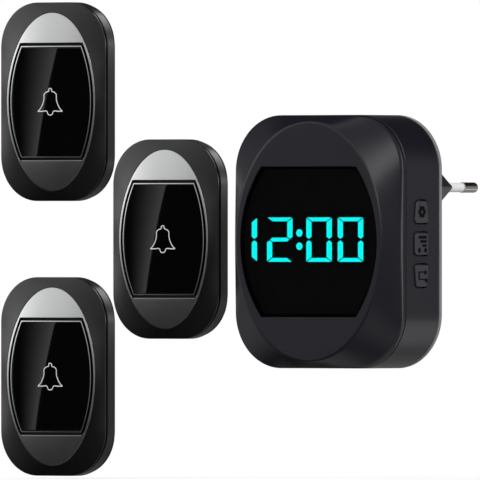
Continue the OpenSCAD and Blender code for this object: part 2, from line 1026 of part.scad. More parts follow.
module panel_dome() {
  steps = 8;
  rim = panel_h * 0.7;
  cap = [
    for (k = [0 : steps])
      let (r = rim * k / steps)
        [r, sqrt(pow(panel_dome_r, 2) - r * r) - panel_dome_r]
  ];
  translate([0, 0, trim_z + panel_crown])
    rotate_extrude($fn = 96)
      polygon(concat(cap, [[rim, -reach / 2], [0, -reach / 2]]));
}

module push_panel() {
  grow = panel_gap + panel_flange_w;
  color([0.015, 0.015, 0.018]) {
    intersection() {
      translate([0, 0, panel_bottom_z])
        linear_extrude(reach)
          barrel(panel_w, panel_h, panel_bow_r);
      panel_dome();
    }
    translate([0, 0, panel_bottom_z])
      linear_extrude(panel_flange_top_z - panel_bottom_z)
        barrel(panel_w + 2 * grow, panel_h + 2 * grow, panel_bow_r + grow);
    post(pusher_r, pusher_z, panel_bottom_z + 0.2);
  }
}

module board() {
  color([0.05, 0.25, 0.12])
    difference() {
      translate([0, 0, small_board_z])
        linear_extrude(small_board_t)
          rounded(small_board_w, small_board_h, 3);
      each_corner(stake_x, stake_y)
        post(stake_pin_r + fit, small_board_z - 1, reach);
    }
}

module tact_switch() {
  color([0.2, 0.2, 0.22])
    difference() {
      translate([-switch_size / 2, -switch_size / 2, small_board_top_z])
        cube([switch_size, switch_size, small_switch_h]);
      post(small_bore_r, small_switch_top_z - small_bore_d, reach);
    }
}

module switch_plunger() {
  color([0.6, 0.2, 0.15])
    post(small_plunger_r, small_switch_top_z - small_plunger_in, pusher_z);
}

module coin_cell() {
  color([0.75, 0.75, 0.74])
    translate([0, -cell_drop, cell_z]) {
      cylinder(d = cell_d, h = cell_t - 0.6);
      translate([0, 0, cell_t - 0.6])
        cylinder(d = cell_d - 2.4, h = 0.6);
    }
}

module battery_clip() {
  span = cell_d + 2 * clip_gap;
  foot_z = cell_z + 0.4;
  color([0.8, 0.78, 0.7])
    translate([0, -cell_drop, 0]) {
      translate([-span / 2 - clip_t, -clip_w / 2, clip_z])
        cube([span + 2 * clip_t, clip_w, clip_t]);
      for (x = [-span / 2 - clip_t, span / 2])
        translate([x, -clip_w / 2, foot_z])
          cube([clip_t, clip_w, clip_z + clip_t - foot_z]);
    }
}

module on_receiver() {
  stand(0, 0)
    children();
}

module on_transmitter(i) {
  stand(transmitter_at[i][0], transmitter_at[i][1])
    children();
}

on_receiver() receiver_housing();
on_receiver() receiver_rear_cover();
on_receiver() display_window();
on_receiver() display_module();
on_receiver() display_segments();
on_receiver() main_board();
on_receiver() board_screws();
on_receiver() radio_module();
on_receiver() antenna_coil();
on_receiver() side_key_board();
on_receiver() key_switches();
on_receiver() upper_key();
on_receiver() middle_key();
on_receiver() lower_key();
on_receiver() upper_key_plunger();
on_receiver() middle_key_plunger();
on_receiver() lower_key_plunger();
on_receiver() speaker_frame();
on_receiver() speaker_cone();
on_receiver() speaker_magnet();
on_receiver() power_board();
on_receiver() film_capacitor();
on_receiver() storage_capacitor();
on_receiver() plug_pins();
on_receiver() pin_sleeves();
on_receiver() case_screws();

for (i = [0 : 2]) {
  on_transmitter(i) rear_cover();
  on_transmitter(i) gasket();
  on_transmitter(i) body_case();
  on_transmitter(i) bezel();
  on_transmitter(i) trim_plate();
  on_transmitter(i) push_panel();
  on_transmitter(i) board();
  on_transmitter(i) tact_switch();
  on_transmitter(i) switch_plunger();
  on_transmitter(i) coin_cell();
  on_transmitter(i) battery_clip();
}
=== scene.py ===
# %% [markdown]
# A wireless doorbell set: one plug-in chime receiver with a clock, and three alike push buttons.
# The solid parts arrive as a fixed frame in metres, with +Z up, the fronts facing -Y and the wall at y = 0.
# Everything below only dresses that frame, so each new piece is placed from the frame's own boxes.

# %% Load the fixed frame
import json
import math

import bmesh
import bpy
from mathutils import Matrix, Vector


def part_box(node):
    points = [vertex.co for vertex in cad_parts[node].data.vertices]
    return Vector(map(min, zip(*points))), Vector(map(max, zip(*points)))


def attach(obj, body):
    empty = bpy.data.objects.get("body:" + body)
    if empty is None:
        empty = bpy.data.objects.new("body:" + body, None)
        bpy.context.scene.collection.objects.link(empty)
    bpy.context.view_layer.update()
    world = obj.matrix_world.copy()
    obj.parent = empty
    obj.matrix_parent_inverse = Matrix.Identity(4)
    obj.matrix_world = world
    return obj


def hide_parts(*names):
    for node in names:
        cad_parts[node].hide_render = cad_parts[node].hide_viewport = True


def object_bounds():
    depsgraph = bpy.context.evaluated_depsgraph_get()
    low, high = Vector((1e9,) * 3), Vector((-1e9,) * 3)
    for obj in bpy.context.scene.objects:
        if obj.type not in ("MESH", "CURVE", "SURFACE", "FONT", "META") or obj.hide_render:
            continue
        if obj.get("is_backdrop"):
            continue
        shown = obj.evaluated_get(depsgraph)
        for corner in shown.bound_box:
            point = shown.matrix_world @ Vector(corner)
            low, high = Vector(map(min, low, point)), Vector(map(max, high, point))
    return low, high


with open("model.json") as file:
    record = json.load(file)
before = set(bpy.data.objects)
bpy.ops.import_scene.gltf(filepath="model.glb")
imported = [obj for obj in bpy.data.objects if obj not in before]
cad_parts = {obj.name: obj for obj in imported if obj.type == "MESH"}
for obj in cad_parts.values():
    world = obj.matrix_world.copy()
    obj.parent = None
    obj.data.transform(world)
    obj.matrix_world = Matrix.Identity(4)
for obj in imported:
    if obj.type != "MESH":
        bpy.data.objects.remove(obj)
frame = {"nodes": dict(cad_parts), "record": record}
cad_low, cad_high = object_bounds()
MM = 0.001
BUTTONS = [f"transmitter_{i}" for i in (1, 2, 3)]
print("frame box in mm:", [round(x / MM, 1) for x in (*cad_low, *cad_high)])

# %% [markdown]
# The picture is taken from the right, level with the units, through a very long lens.
# A long lens keeps the four units equally large, and lets the three buttons show the same reflections.
# The target point and the width of the view set the framing, so nothing has to be shifted.

# %% Camera
VIEW_TURN = math.radians(37.0)
VIEW_FAR = 8.0
VIEW_WIDTH = 184.6 * MM
VIEW_AIM = Vector((-46.35, -15.0, 0.65)) * MM
SENSOR = 36.0

towards_camera = Vector((math.sin(VIEW_TURN), -math.cos(VIEW_TURN), 0.0))
bpy.ops.object.camera_add(
    location=VIEW_AIM + VIEW_FAR * towards_camera, rotation=(math.pi / 2, 0.0, VIEW_TURN)
)
camera = bpy.context.object
camera.name = "portrait_camera"
camera.data.sensor_width = SENSOR
camera.data.lens = VIEW_FAR * SENSOR / VIEW_WIDTH
camera.data.clip_end = 3 * VIEW_FAR
camera.data.dof.use_dof = False
bpy.context.scene.camera = camera
bpy.context.scene.view_settings.view_transform = "Standard"
print("lens in mm:", round(camera.data.lens))

# %% [markdown]
# Every finish below is a small network of shader nodes.
# Wiring nodes one by one hides the idea behind many lines, so one class wraps a socket.
# Its operators add Math nodes, and its node method adds any other node, settings first and sockets after.


# %% Shader expressions
class Wire:
    """A socket of a node tree. Arithmetic on it adds Math nodes to that tree."""

    def __init__(self, tree, socket=None):
        self.tree = tree
        self.socket = socket

    def node(self, kind, settings=None, inputs=None, output=0):
        """Adds a node, sets it, fills or links its sockets and wraps one of its outputs."""
        made = self.tree.nodes.new(kind)
        for name, value in (settings or {}).items():
            setattr(made, name, value)
        for name, value in (inputs or {}).items():
            if isinstance(value, Wire):
                self.tree.links.new(value.socket, made.inputs[name])
            else:
                made.inputs[name].default_value = value
        return Wire(self.tree, made.outputs[output] if len(made.outputs) else None)

    def math(self, operation, *values):
        """Adds a Math node."""
        return self.node("ShaderNodeMath", {"operation": operation}, dict(enumerate(values)))

    def __add__(self, other):
        return self.math("ADD", self, other)

    def __radd__(self, other):
        return self.math("ADD", other, self)

    def __sub__(self, other):
        return self.math("SUBTRACT", self, other)

    def __rsub__(self, other):
        return self.math("SUBTRACT", other, self)

    def __mul__(self, other):
        return self.math("MULTIPLY", self, other)

    def __rmul__(self, other):
        return self.math("MULTIPLY", other, self)

    def __truediv__(self, other):
        return self.math("DIVIDE", self, other)

    def __pow__(self, other):
        return self.math("POWER", self, other)

    def __gt__(self, other):
        return self.math("GREATER_THAN", self, other)

    def __lt__(self, other):
        return self.math("LESS_THAN", self, other)

    def smooth(self, low, high):
        """0 below low, 1 above high, and a soft step between."""
        ends = {"Value": self, "From Min": low, "From Max": high}
        return self.node("ShaderNodeMapRange", {"interpolation_type": "SMOOTHSTEP"}, ends)


def mix_colour(wire, factor, first, second):
    """A blend of two colours, where each is four numbers or a wire."""
    return wire.node("ShaderNodeMix", {"data_type": "RGBA"}, {0: factor, 6: first, 7: second}, output=2)


# %% [markdown]
# The studio is white behind the units and dark in front of them, as in a catalogue picture.
# What a glossy part shows is drawn in the world by direction: soft boxes high in front and at the left,
# a dark flag in the middle, and in that flag one card whose slanted edge crosses the gloss of the buttons.
# Soft boxes could be modelled as real sheets, but a drawn one is moved and softened by changing a number.

# %% Studio reflections
STUDIO_DARK = 0.012
# Of each box: its light, the turn and rise of its middle, and its half widths, in degrees from the front.
SOFT_BOXES = [
    (1.6, -52.0, 10.0, 6.0, 6.0),
    (0.9, -67.0, 2.0, 15.0, 8.0),
    (1.5, -20.0, 16.0, 6.0, 5.0),
    (0.3, -12.0, 4.0, 6.0, 4.0),
    (4.2, 14.0, 20.0, 12.0, 9.0),
    (0.6, 8.0, -26.0, 14.0, 10.0),
    (0.3, -98.0, 5.0, 12.0, 14.0),
    (0.45, -84.0, -16.0, 12.0, 10.0),
    (0.4, 62.0, -38.0, 34.0, 26.0),
    (5.0, 104.0, 8.0, 7.0, 30.0),
]
DARK_STRIP = (0.85, 6.0, -2.0, 10.0, 6.0)
WASH_LOW = 0.012
WASH_HIGH = 0.66
WASH_FALL = 0.55
GROUND_LIGHT = 0.45
WALL_LIGHT = 0.45
FLAG_TURN = -37.0
FLAG_HALF_TURN = 4.9
FLAG_HALF_RISE = 4.5
CARD_LIGHT = 0.95
CARD_START = -41.3
CARD_EDGE = -38.2
CARD_SLANT = 0.294
CARD_FALL = 1.8

world = bpy.data.worlds.new("studio")
world.use_nodes = True
world.node_tree.nodes.clear()
bpy.context.scene.world = world
studio = Wire(world.node_tree)
heading = studio.node("ShaderNodeTexCoord", output="Generated")
x_part, y_part, z_part = (
    studio.node("ShaderNodeSeparateXYZ", inputs={0: heading}, output=axis) for axis in "XYZ"
)
turn = studio.math("ARCTAN2", x_part, 0.0 - y_part) * math.degrees(1.0)
rise = studio.math("ARCSINE", z_part) * math.degrees(1.0)


def soft_box(light, turn_at, rise_at, turn_wide, rise_wide):
    """A soft patch of light round a direction."""
    across = ((turn - turn_at) / turn_wide) ** 2.0
    upward = ((rise - rise_at) / rise_wide) ** 2.0
    return light * studio.math("EXPONENT", 0.0 - across - upward)


front = turn.smooth(-85.0, -65.0) * (1.0 - turn.smooth(70.0, 100.0))
left_to_right = 1.0 - WASH_FALL * turn.smooth(-36.0, -27.0)
dark_strip = 1.0 - soft_box(*DARK_STRIP)
wash = (WASH_LOW + WASH_HIGH * rise.smooth(-10.5, 11.0) * left_to_right * dark_strip) * front
boxes = soft_box(*SOFT_BOXES[0])
for box in SOFT_BOXES[1:]:
    boxes = boxes + soft_box(*box)
boxes = boxes + GROUND_LIGHT * (1.0 - rise.smooth(-65.0, -38.0))
flag = (studio.math("ABSOLUTE", turn - FLAG_TURN) < FLAG_HALF_TURN) * (
    studio.math("ABSOLUTE", rise) < FLAG_HALF_RISE
)
card_end = CARD_EDGE + CARD_SLANT * rise
card_share = studio.math("MAXIMUM", (turn - CARD_START) / (card_end - CARD_START), 0.0)
card = CARD_LIGHT * card_share**CARD_FALL * (turn < card_end)
behind = WALL_LIGHT * y_part.smooth(0.55, 1.0) * (1.0 - rise.smooth(4.0, 26.0))
mirrored = STUDIO_DARK + (wash + boxes) * (1.0 - flag) + card * flag + behind
print("soft boxes drawn:", len(SOFT_BOXES))

# %% [markdown]
# Matt parts get an even light instead, and three lamps that stay out of the reflections give it a direction.
# A box drawn by direction looks the same from every spot, so the gleams that belong to one place come from
# small cards that only glossy parts see: two behind each button's upper right corner, and one low behind
# the receiver. A narrow spread keeps each of them on its own edge.

# %% Studio light on matt parts, and the white behind the units
EVEN_LIGHT = 0.55
SKY_SHARE = 0.2

ray = {
    name: studio.node("ShaderNodeLightPath", output=name)
    for name in ("Is Camera Ray", "Is Glossy Ray", "Is Transmission Ray")
}
even = EVEN_LIGHT + SKY_SHARE * z_part
seen = studio.math("MAXIMUM", ray["Is Camera Ray"], ray["Is Transmission Ray"])
strength = seen + (1.0 - seen) * (ray["Is Glossy Ray"] * mirrored + (1.0 - ray["Is Glossy Ray"]) * even)
backdrop = studio.node("ShaderNodeBackground", inputs={"Color": (1.0, 1.0, 1.0, 1.0), "Strength": strength})
studio.node("ShaderNodeOutputWorld", inputs={"Surface": backdrop})
print("studio nodes:", len(world.node_tree.nodes))

# %% Lamps and cards
ALL_ROUND = 180.0
# Of each lamp or card: its spot, its aim or None for the units, its size, power and spread in degrees.
LAMPS = {
    "key_lamp": ((-0.7, -1.3, 1.1), None, 0.9, 12.0, ALL_ROUND),
    "fill_lamp": ((1.3, -1.0, 0.2), None, 0.9, 3.0, ALL_ROUND),
    "rear_lamp": ((1.3, 0.7, 0.5), None, 0.6, 7.0, ALL_ROUND),
}
CARDS = {"wall_card": ((0.19, 0.185, -0.17), None, 0.2, 0.08, ALL_ROUND)}
# These two stand behind every button, so their spots count from its bezel's upper right corner.
BUTTON_CARDS = {
    "corner": (Vector((0.014, 0.04, 0.01)), Vector((0.0, -0.8, -0.6)), 0.045, 0.0027, 60.0),
    "strip": (Vector((0.072, 0.096, 0.005)), Vector((-0.6, -0.8, 0.0)), 0.04, 0.0009, 38.0),
}

for button in BUTTONS:
    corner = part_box(f"{button}_bezel")[1]
    for part, (away, *rest) in BUTTON_CARDS.items():
        CARDS[f"{button}_{part}_card"] = (corner + away, *rest)
for name, (spot, aim, size, power, spread) in (LAMPS | CARDS).items():
    turned = (aim or VIEW_AIM - Vector(spot)).to_track_quat("-Z", "Y").to_euler()
    bpy.ops.object.light_add(type="AREA", location=spot, rotation=turned)
    lamp = bpy.context.object
    lamp.name = name
    lamp.data.size = size
    lamp.data.energy = power
    lamp.data.spread = math.radians(spread)
    lamp.visible_camera = False
    lamp.visible_glossy = name in CARDS
    lamp.visible_diffuse = name in LAMPS
print("lamps:", sorted(LAMPS), "and cards:", sorted(CARDS))

# %% [markdown]
# The floor is a pale sheet just under the lowest button, and it is not part of the object.
# It is half matt and half self-lit for the camera, so it looks white and still keeps a shadow.

# %% Floor
FLOOR_DROP = 1.0 * MM
FLOOR_SIZE = 0.9
FLOOR_GREY = (0.32, 0.32, 0.32, 1.0)
FLOOR_GLOW = 0.72


def blank(name):
    """An empty material, and the wire to write its nodes with."""
    material = bpy.data.materials.new(name)
    material.use_nodes = True
    material.node_tree.nodes.clear()
    return material, Wire(material.node_tree)


def pale_floor():
    """A matt sheet that also glows, but only for the camera."""
    material, wire = blank("pale_floor")
    matt = wire.node("ShaderNodeBsdfDiffuse", inputs={"Color": FLOOR_GREY})
    camera_ray = wire.node("ShaderNodeLightPath", output="Is Camera Ray")
    glow = wire.node("ShaderNodeEmission", inputs={"Strength": FLOOR_GLOW * camera_ray})
    both = wire.node("ShaderNodeAddShader", inputs={0: matt, 1: glow})
    wire.node("ShaderNodeOutputMaterial", inputs={"Surface": both})
    return material


bpy.ops.object.select_all(action="DESELECT")
bpy.ops.mesh.primitive_plane_add(size=FLOOR_SIZE, location=(VIEW_AIM.x, 0.0, cad_low.z - FLOOR_DROP))
floor = bpy.context.object
floor.name = "floor"
floor.data.materials.append(pale_floor())
floor.visible_glossy = False
floor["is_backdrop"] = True
print("floor in mm below the set:", round(FLOOR_DROP / MM, 1))

# %% [markdown]
# Most of the set is moulded plastic. A real moulding is never one flat colour: its tone drifts a little
# over a few centimetres, and a fine spark-eroded grain breaks up its gloss. Two noise patterns do both.
# The same recipe with a metallic share serves the plated and rolled metals.
# A finish may turn matt behind a depth, because a glossy flange would glint in the gap round its panel.
# The circuit boards get the lanes under their lacquer from a Voronoi pattern measured along the axes.

# %% Moulded, plated and board finishes
DRIFT_SCALE = 45.0
GRAIN_DEPTH = 0.004 * MM
MATT_BACK = 0.6
BOARD_GRAIN = 900.0
LANE_SCALE = 225.0
LANE_EDGE = (0.25, 0.4)
LANE_DEPTH = 0.03 * MM


def shaded(colour, factor):
    """The colour with its brightness multiplied, with full alpha."""
    return (*(part * factor for part in colour), 1.0)


def body_shader(wire, inputs):
    """The surface shader with the given sockets, joined to the material's output."""
    surface = wire.node("ShaderNodeBsdfPrincipled", inputs=inputs)
    wire.node("ShaderNodeOutputMaterial", inputs={"Surface": surface})


def noise(wire, place, scale, detail=2.0):
    """A cloudy pattern between 0 and 1."""
    return wire.node("ShaderNodeTexNoise", inputs={"Vector": place, "Scale": scale, "Detail": detail})


def bumped(wire, height, distance):
    """Normals tilted as if the surface rose with the height."""
    return wire.node("ShaderNodeBump", inputs={"Height": height, "Distance": distance})


def moulded(
    name, colour, roughness, metallic=0.0, drift=0.12, grain=2200.0, depth=GRAIN_DEPTH, rough_drift=0.06,
    sheen=0.5, matt_from=None,
):
    """A finish of drifting tone, its gloss broken by a fine grain, and matt from a depth on if asked."""
    material, wire = blank(name)
    place = wire.node("ShaderNodeTexCoord", output="Object")
    tone = noise(wire, place, DRIFT_SCALE, 3.0)
    fine = noise(wire, place, grain)
    if matt_from is not None:
        y_place = wire.node("ShaderNodeSeparateXYZ", inputs={0: place}, output="Y")
        roughness = roughness + MATT_BACK * (y_place > matt_from)
    inputs = {
        "Base Color": mix_colour(wire, tone, shaded(colour, 1 - drift), shaded(colour, 1 + drift)),
        "Roughness": roughness + rough_drift * (fine + tone - 1.0),
        "Metallic": metallic,
        "Specular IOR Level": sheen,
        "Normal": bumped(wire, fine, depth),
    }
    body_shader(wire, inputs)
    return material


def boarded(name, resist, trace):
    """A circuit board: lacquer over fine copper lanes, seen as a slightly lighter pattern."""
    material, wire = blank(name)
    place = wire.node("ShaderNodeTexCoord", output="Object")
    cells = {"Vector": place, "Scale": LANE_SCALE}
    lanes = wire.node("ShaderNodeTexVoronoi", {"distance": "CHEBYCHEV"}, cells, output="Distance")
    copper = lanes.smooth(*LANE_EDGE)
    inputs = {
        "Base Color": mix_colour(wire, copper, shaded(resist, 1.0), shaded(trace, 1.0)),
        "Roughness": 0.35 + 0.1 * noise(wire, place, BOARD_GRAIN),
        "Normal": bumped(wire, copper, LANE_DEPTH),
    }
    body_shader(wire, inputs)
    return material


# %% [markdown]
# Three finishes need more than the moulded recipe.
# The digits are lit through a diffuser, so their light is even but for a faint cloudiness.
# The window is smoked acrylic: it lets one part in twenty through, so only lit digits show.
# The silver plate is satin metal that mirrors the studio with a slightly fuller crown than its sheet has.
# A bump round each button's middle gives that crown, so the sheet itself can stay on the shared dome.

# %% Lit, smoked and silver finishes
SMOKE = 0.05
LIT_LEVEL = 22.0
LIT_COLOUR = (0.002, 0.93, 0.9)
CLOUD_SCALE = 260.0
WIPE_SCALE = 18.0
ACRYLIC_IOR = 1.49
SILVER = (0.74, 0.745, 0.75)
SATIN_ROUGH = 0.16
SATIN_GRAIN = 3500.0
SATIN_DEPTH = 0.002 * MM
SATIN_DRIFT = 120.0
CROWN_RADIUS = 0.5


def lit(name):
    """The light of the digits."""
    material, wire = blank(name)
    place = wire.node("ShaderNodeTexCoord", output="Object")
    cloud = noise(wire, place, CLOUD_SCALE)
    inputs = {
        "Base Color": (0.0, 0.03, 0.03, 1.0),
        "Roughness": 0.6,
        "Emission Color": mix_colour(wire, cloud, shaded(LIT_COLOUR, 0.93), shaded(LIT_COLOUR, 1.05)),
        "Emission Strength": LIT_LEVEL,
    }
    body_shader(wire, inputs)
    return material


def smoked(name):
    """Dark clear acrylic, wiped but never quite evenly."""
    material, wire = blank(name)
    place = wire.node("ShaderNodeTexCoord", output="Object")
    wiped = noise(wire, place, WIPE_SCALE, 4.0)
    tint = (SMOKE, SMOKE, SMOKE)
    inputs = {
        "Base Color": mix_colour(wire, wiped, shaded(tint, 0.97), shaded(tint, 1.03)),
        "Roughness": 0.001 * wiped,
        "IOR": ACRYLIC_IOR,
        "Transmission Weight": 1.0,
    }
    body_shader(wire, inputs)
    return material


def crowned_silver(name, centre):
    """Satin silver with a crown about one button's middle."""
    material, wire = blank(name)
    place = wire.node("ShaderNodeTexCoord", output="Object")
    middle = wire.node("ShaderNodeMapping", inputs={"Vector": place, "Location": (-centre.x, 0.0, -centre.z)})
    across, upward = (wire.node("ShaderNodeSeparateXYZ", inputs={0: middle}, output=axis) for axis in "XZ")
    crown = (across * across + upward * upward) / (-2.0 * CROWN_RADIUS)
    fine = noise(wire, place, SATIN_GRAIN)
    tone = noise(wire, place, SATIN_DRIFT, 3.0)
    inputs = {
        "Base Color": mix_colour(wire, tone, shaded(SILVER, 0.96), shaded(SILVER, 1.04)),
        "Metallic": 1.0,
        "Roughness": SATIN_ROUGH + 0.05 * (fine + tone - 1.0),
        "Normal": bumped(wire, crown + fine * SATIN_DEPTH, 1.0),
    }
    body_shader(wire, inputs)
    return material


# %% [markdown]
# Each material slot of the part's record gets its finish here, by name.
# The carried-over solids then take the finish of their slot, so no inside piece is left plain.
# The digits are seen through the window, but their light is kept off the inside of the case.

# %% Finishes by slot
FLANGE_DEEP = 1.2 * MM
panel_low, panel_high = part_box("transmitter_1_push_panel")

FINISHES = {
    "receiver_black": moulded("receiver_black", (0.0092, 0.0083, 0.0135), 0.3),
    "rear_grey": moulded("rear_grey", (0.24, 0.24, 0.243), 0.5),
    "smoked_window": smoked("smoked_window"),
    "module_black": moulded("module_black", (0.006, 0.006, 0.007), 0.7),
    "lit_cyan": lit("lit_cyan"),
    "board_green": boarded("board_green", (0.02, 0.16, 0.07), (0.05, 0.26, 0.12)),
    "board_blue": boarded("board_blue", (0.02, 0.06, 0.26), (0.06, 0.13, 0.4)),
    "board_tan": boarded("board_tan", (0.36, 0.25, 0.1), (0.48, 0.36, 0.16)),
    "screw_steel": moulded("screw_steel", (0.55, 0.55, 0.56), 0.3, metallic=1.0, grain=900.0),
    "copper_wire": moulded("copper_wire", (0.72, 0.36, 0.18), 0.28, metallic=1.0),
    "switch_black": moulded("switch_black", (0.02, 0.02, 0.022), 0.5),
    "key_black": moulded("key_black", (0.036, 0.034, 0.044), 0.36, grain=3000.0),
    "speaker_steel": moulded("speaker_steel", (0.4, 0.4, 0.42), 0.4, metallic=1.0),
    "speaker_paper": moulded(
        "speaker_paper", (0.03, 0.029, 0.028), 0.9, drift=0.3, grain=900.0, depth=0.08 * MM
    ),
    "magnet_dark": moulded("magnet_dark", (0.09, 0.09, 0.095), 0.45, metallic=0.8),
    "capacitor_yellow": moulded("capacitor_yellow", (0.68, 0.5, 0.06), 0.35),
    "capacitor_blue": moulded("capacitor_blue", (0.04, 0.06, 0.22), 0.3),
    "pin_nickel": moulded("pin_nickel", (0.66, 0.63, 0.6), 0.16, metallic=1.0, grain=1500.0),
    "sleeve_white": moulded("sleeve_white", (0.92, 0.92, 0.915), 0.4, drift=0.03),
    "back_black": moulded("back_black", (0.012, 0.012, 0.013), 0.5),
    "gasket_rubber": moulded("gasket_rubber", (0.012, 0.012, 0.012), 0.8),
    "case_charcoal": moulded("case_charcoal", (0.008, 0.008, 0.0088), 0.34),
    "bezel_black": moulded("bezel_black", (0.0015, 0.0015, 0.0017), 0.2, sheen=0.8),
    "trim_silver": moulded(
        "trim_silver", SILVER, 0.2, metallic=1.0, grain=SATIN_GRAIN, depth=SATIN_DEPTH
    ),
    "panel_gloss": moulded(
        "panel_gloss", (0.0012, 0.0012, 0.0014), 0.02, drift=0.3, depth=0.0, rough_drift=0.01,
        matt_from=panel_high.y - FLANGE_DEEP,
    ),
    "plunger_red": moulded("plunger_red", (0.45, 0.07, 0.04), 0.45),
    "cell_steel": moulded("cell_steel", (0.68, 0.68, 0.67), 0.25, metallic=1.0, grain=1200.0),
    "clip_nickel": moulded("clip_nickel", (0.7, 0.67, 0.6), 0.25, metallic=1.0),
}
sign_white = moulded("sign_white", (0.8, 0.8, 0.8), 0.45, drift=0.04)
sign_dark = moulded("sign_dark", (0.001, 0.001, 0.001), 0.6, sheen=0.1)

for part in frame["record"]["subparts"]:
    node = frame["nodes"][part["node"]]
    node.data.materials.clear()
    node.data.materials.append(FINISHES[part["material_slot"]])
digits = frame["nodes"]["display_segments"]
digits.visible_diffuse = digits.visible_glossy = False
print("finishes:", len(FINISHES), "for", len(frame["nodes"]), "nodes")

# %% [markdown]
# The shells are modelled as a toolmaker would rough them out: a flat outline, pulled into depth rim by rim.
# By hand one would click on the parts to shape. In a script they are found by their place instead, so the
# first helpers start a primitive with nothing else selected, and pick points and edges by a test.

# %% Starting and picking
NEAR = 0.01 * MM
SHARP = math.radians(60)


def select_none():
    """Leaves edit mode and selects nothing."""
    if bpy.context.mode != "OBJECT":
        bpy.ops.object.mode_set(mode="OBJECT")
    bpy.ops.object.select_all(action="DESELECT")


def fresh(name, kind, stretch=None, **settings):
    """Adds a primitive alone, moves its place into its mesh and stretches it along X, Y and Z."""
    select_none()
    getattr(bpy.ops.mesh, f"primitive_{kind}_add")(**settings)
    piece = bpy.context.object
    piece.name = name
    piece.data.name = name
    bpy.ops.object.transform_apply(location=True, rotation=True, scale=True)
    if stretch:
        begin_edit(piece)
        bpy.ops.transform.resize(value=stretch, center_override=settings["location"])
        bpy.ops.object.mode_set(mode="OBJECT")
    return piece


def alone(piece):
    """Makes this the only selected object, in object mode."""
    select_none()
    piece.select_set(True)
    bpy.context.view_layer.objects.active = piece


def begin_edit(piece):
    """Opens a piece in edit mode with all of it selected."""
    alone(piece)
    bpy.ops.object.mode_set(mode="EDIT")
    bpy.ops.mesh.select_mode(type="VERT")
    bpy.ops.mesh.select_all(action="SELECT")


def runs_in_depth(edge):
    """True for an edge that leads from front to back."""
    along = edge.verts[1].co - edge.verts[0].co
    return abs(along.y) > along.length / 2


def pick(piece, kind, test=lambda spot: True, open_only=False, sharp_only=False):
    """Selects the verts or edges whose corners all pass the test, on open rims or sharp outlines if asked."""
    bpy.ops.mesh.select_mode(type=kind)
    bpy.ops.mesh.select_all(action="DESELECT")
    mesh = bmesh.from_edit_mesh(piece.data)
    for part in {"VERT": mesh.verts, "EDGE": mesh.edges}[kind]:
        corners = [part] if kind == "VERT" else part.verts
        if open_only and len(part.link_faces) > 1:
            continue
        if sharp_only and (part.calc_face_angle(0.0) < SHARP or runs_in_depth(part)):
            continue
        if all(test(corner.co) for corner in corners):
            part.select_set(True)
    bmesh.update_edit_mesh(piece.data)


def at_depth(*depths):
    """A test for points that lie at one of these depths."""
    return lambda spot: any(abs(spot.y - depth) < NEAR for depth in depths)


# %% [markdown]
# In edit mode an operator acts on all that is selected. These helpers extrude, round and close what was
# picked: a rim runs through a list of depths and insets, as a lathe tool follows a profile.


# %% Pulling, rounding and closing
def pull_rim(distance):
    """Extrudes the selected edges along Y."""
    bpy.ops.mesh.extrude_edges_move(TRANSFORM_OT_translate={"value": (0.0, distance, 0.0)})


def run_rim(width, height, centre, start, steps):
    """Extrudes the selected rim from a (depth, inset) through further such steps."""
    depth, inset = start
    for new_depth, new_inset in steps:
        pull_rim(new_depth - depth)
        across, upward = ((size - 2 * new_inset) / (size - 2 * inset) for size in (width, height))
        bpy.ops.transform.resize(
            value=(across, 1.0, upward), center_override=(centre[0], new_depth, centre[1])
        )
        depth, inset = new_depth, new_inset


def pull(x=0.0, y=0.0):
    """Extrudes the selected faces along X or Y."""
    bpy.ops.mesh.extrude_region_move(TRANSFORM_OT_translate={"value": (x, y, 0.0)})


def round_off(width, segments, **settings):
    """Rounds the selected edges, or the selected corners of a flat sheet."""
    bpy.ops.mesh.bevel(offset=width, segments=segments, profile=0.5, **settings)


def close_up(piece):
    """Bridges the two rims that are still open, and turns all faces outwards."""
    pick(piece, "EDGE", open_only=True)
    bpy.ops.mesh.bridge_edge_loops()
    turn_outwards()


def turn_outwards():
    """Merges doubled points and turns all faces of a closed mesh outwards."""
    bpy.ops.mesh.select_all(action="SELECT")
    bpy.ops.mesh.remove_doubles(threshold=NEAR / 10)
    bpy.ops.mesh.normals_make_consistent(inside=False)


def join(first, *others):
    """Joins pieces into the first, which keeps its name."""
    alone(first)
    for other in others:
        other.select_set(True)
    bpy.ops.object.join()
    return first


# %% [markdown]
# Some steps are easier as modifiers, which are applied at once, so that the next step meets real points.
# Every finished piece ends alike: it is smoothed up to an angle, and its normals are weighted by the size of
# the faces, which keeps large faces flat beside small roundings. Then it gets its finish, by default the one
# of its slot, and rides on its body.

# %% Modifiers and hand-over
SMOOTH_ANGLE = math.radians(35)


def apply(piece, kind, **settings):
    """Adds a modifier with these settings and applies it."""
    alone(piece)
    modifier = piece.modifiers.new(kind.lower(), kind)
    for name, value in settings.items():
        setattr(modifier, name, value)
    bpy.ops.object.modifier_apply(modifier=modifier.name)


def soften(piece, width, segments, angle=SHARP):
    """Rounds every edge of a piece that is sharper than the angle."""
    apply(piece, "BEVEL", width=width, segments=segments, limit_method="ANGLE", angle_limit=angle)


def carve(piece, *tools, operation="DIFFERENCE"):
    """Cuts tools out of a piece, or adds them to it, and removes the tools."""
    for tool in tools:
        apply(piece, "BOOLEAN", object=tool, operation=operation, solver="EXACT")
        bpy.data.objects.remove(tool)


def enlarge(piece, factor):
    """Scales a piece about the frame's origin and applies the scale."""
    alone(piece)
    bpy.ops.transform.resize(value=(factor, factor, factor), center_override=(0.0, 0.0, 0.0))
    bpy.ops.object.transform_apply(location=True, rotation=True, scale=True)


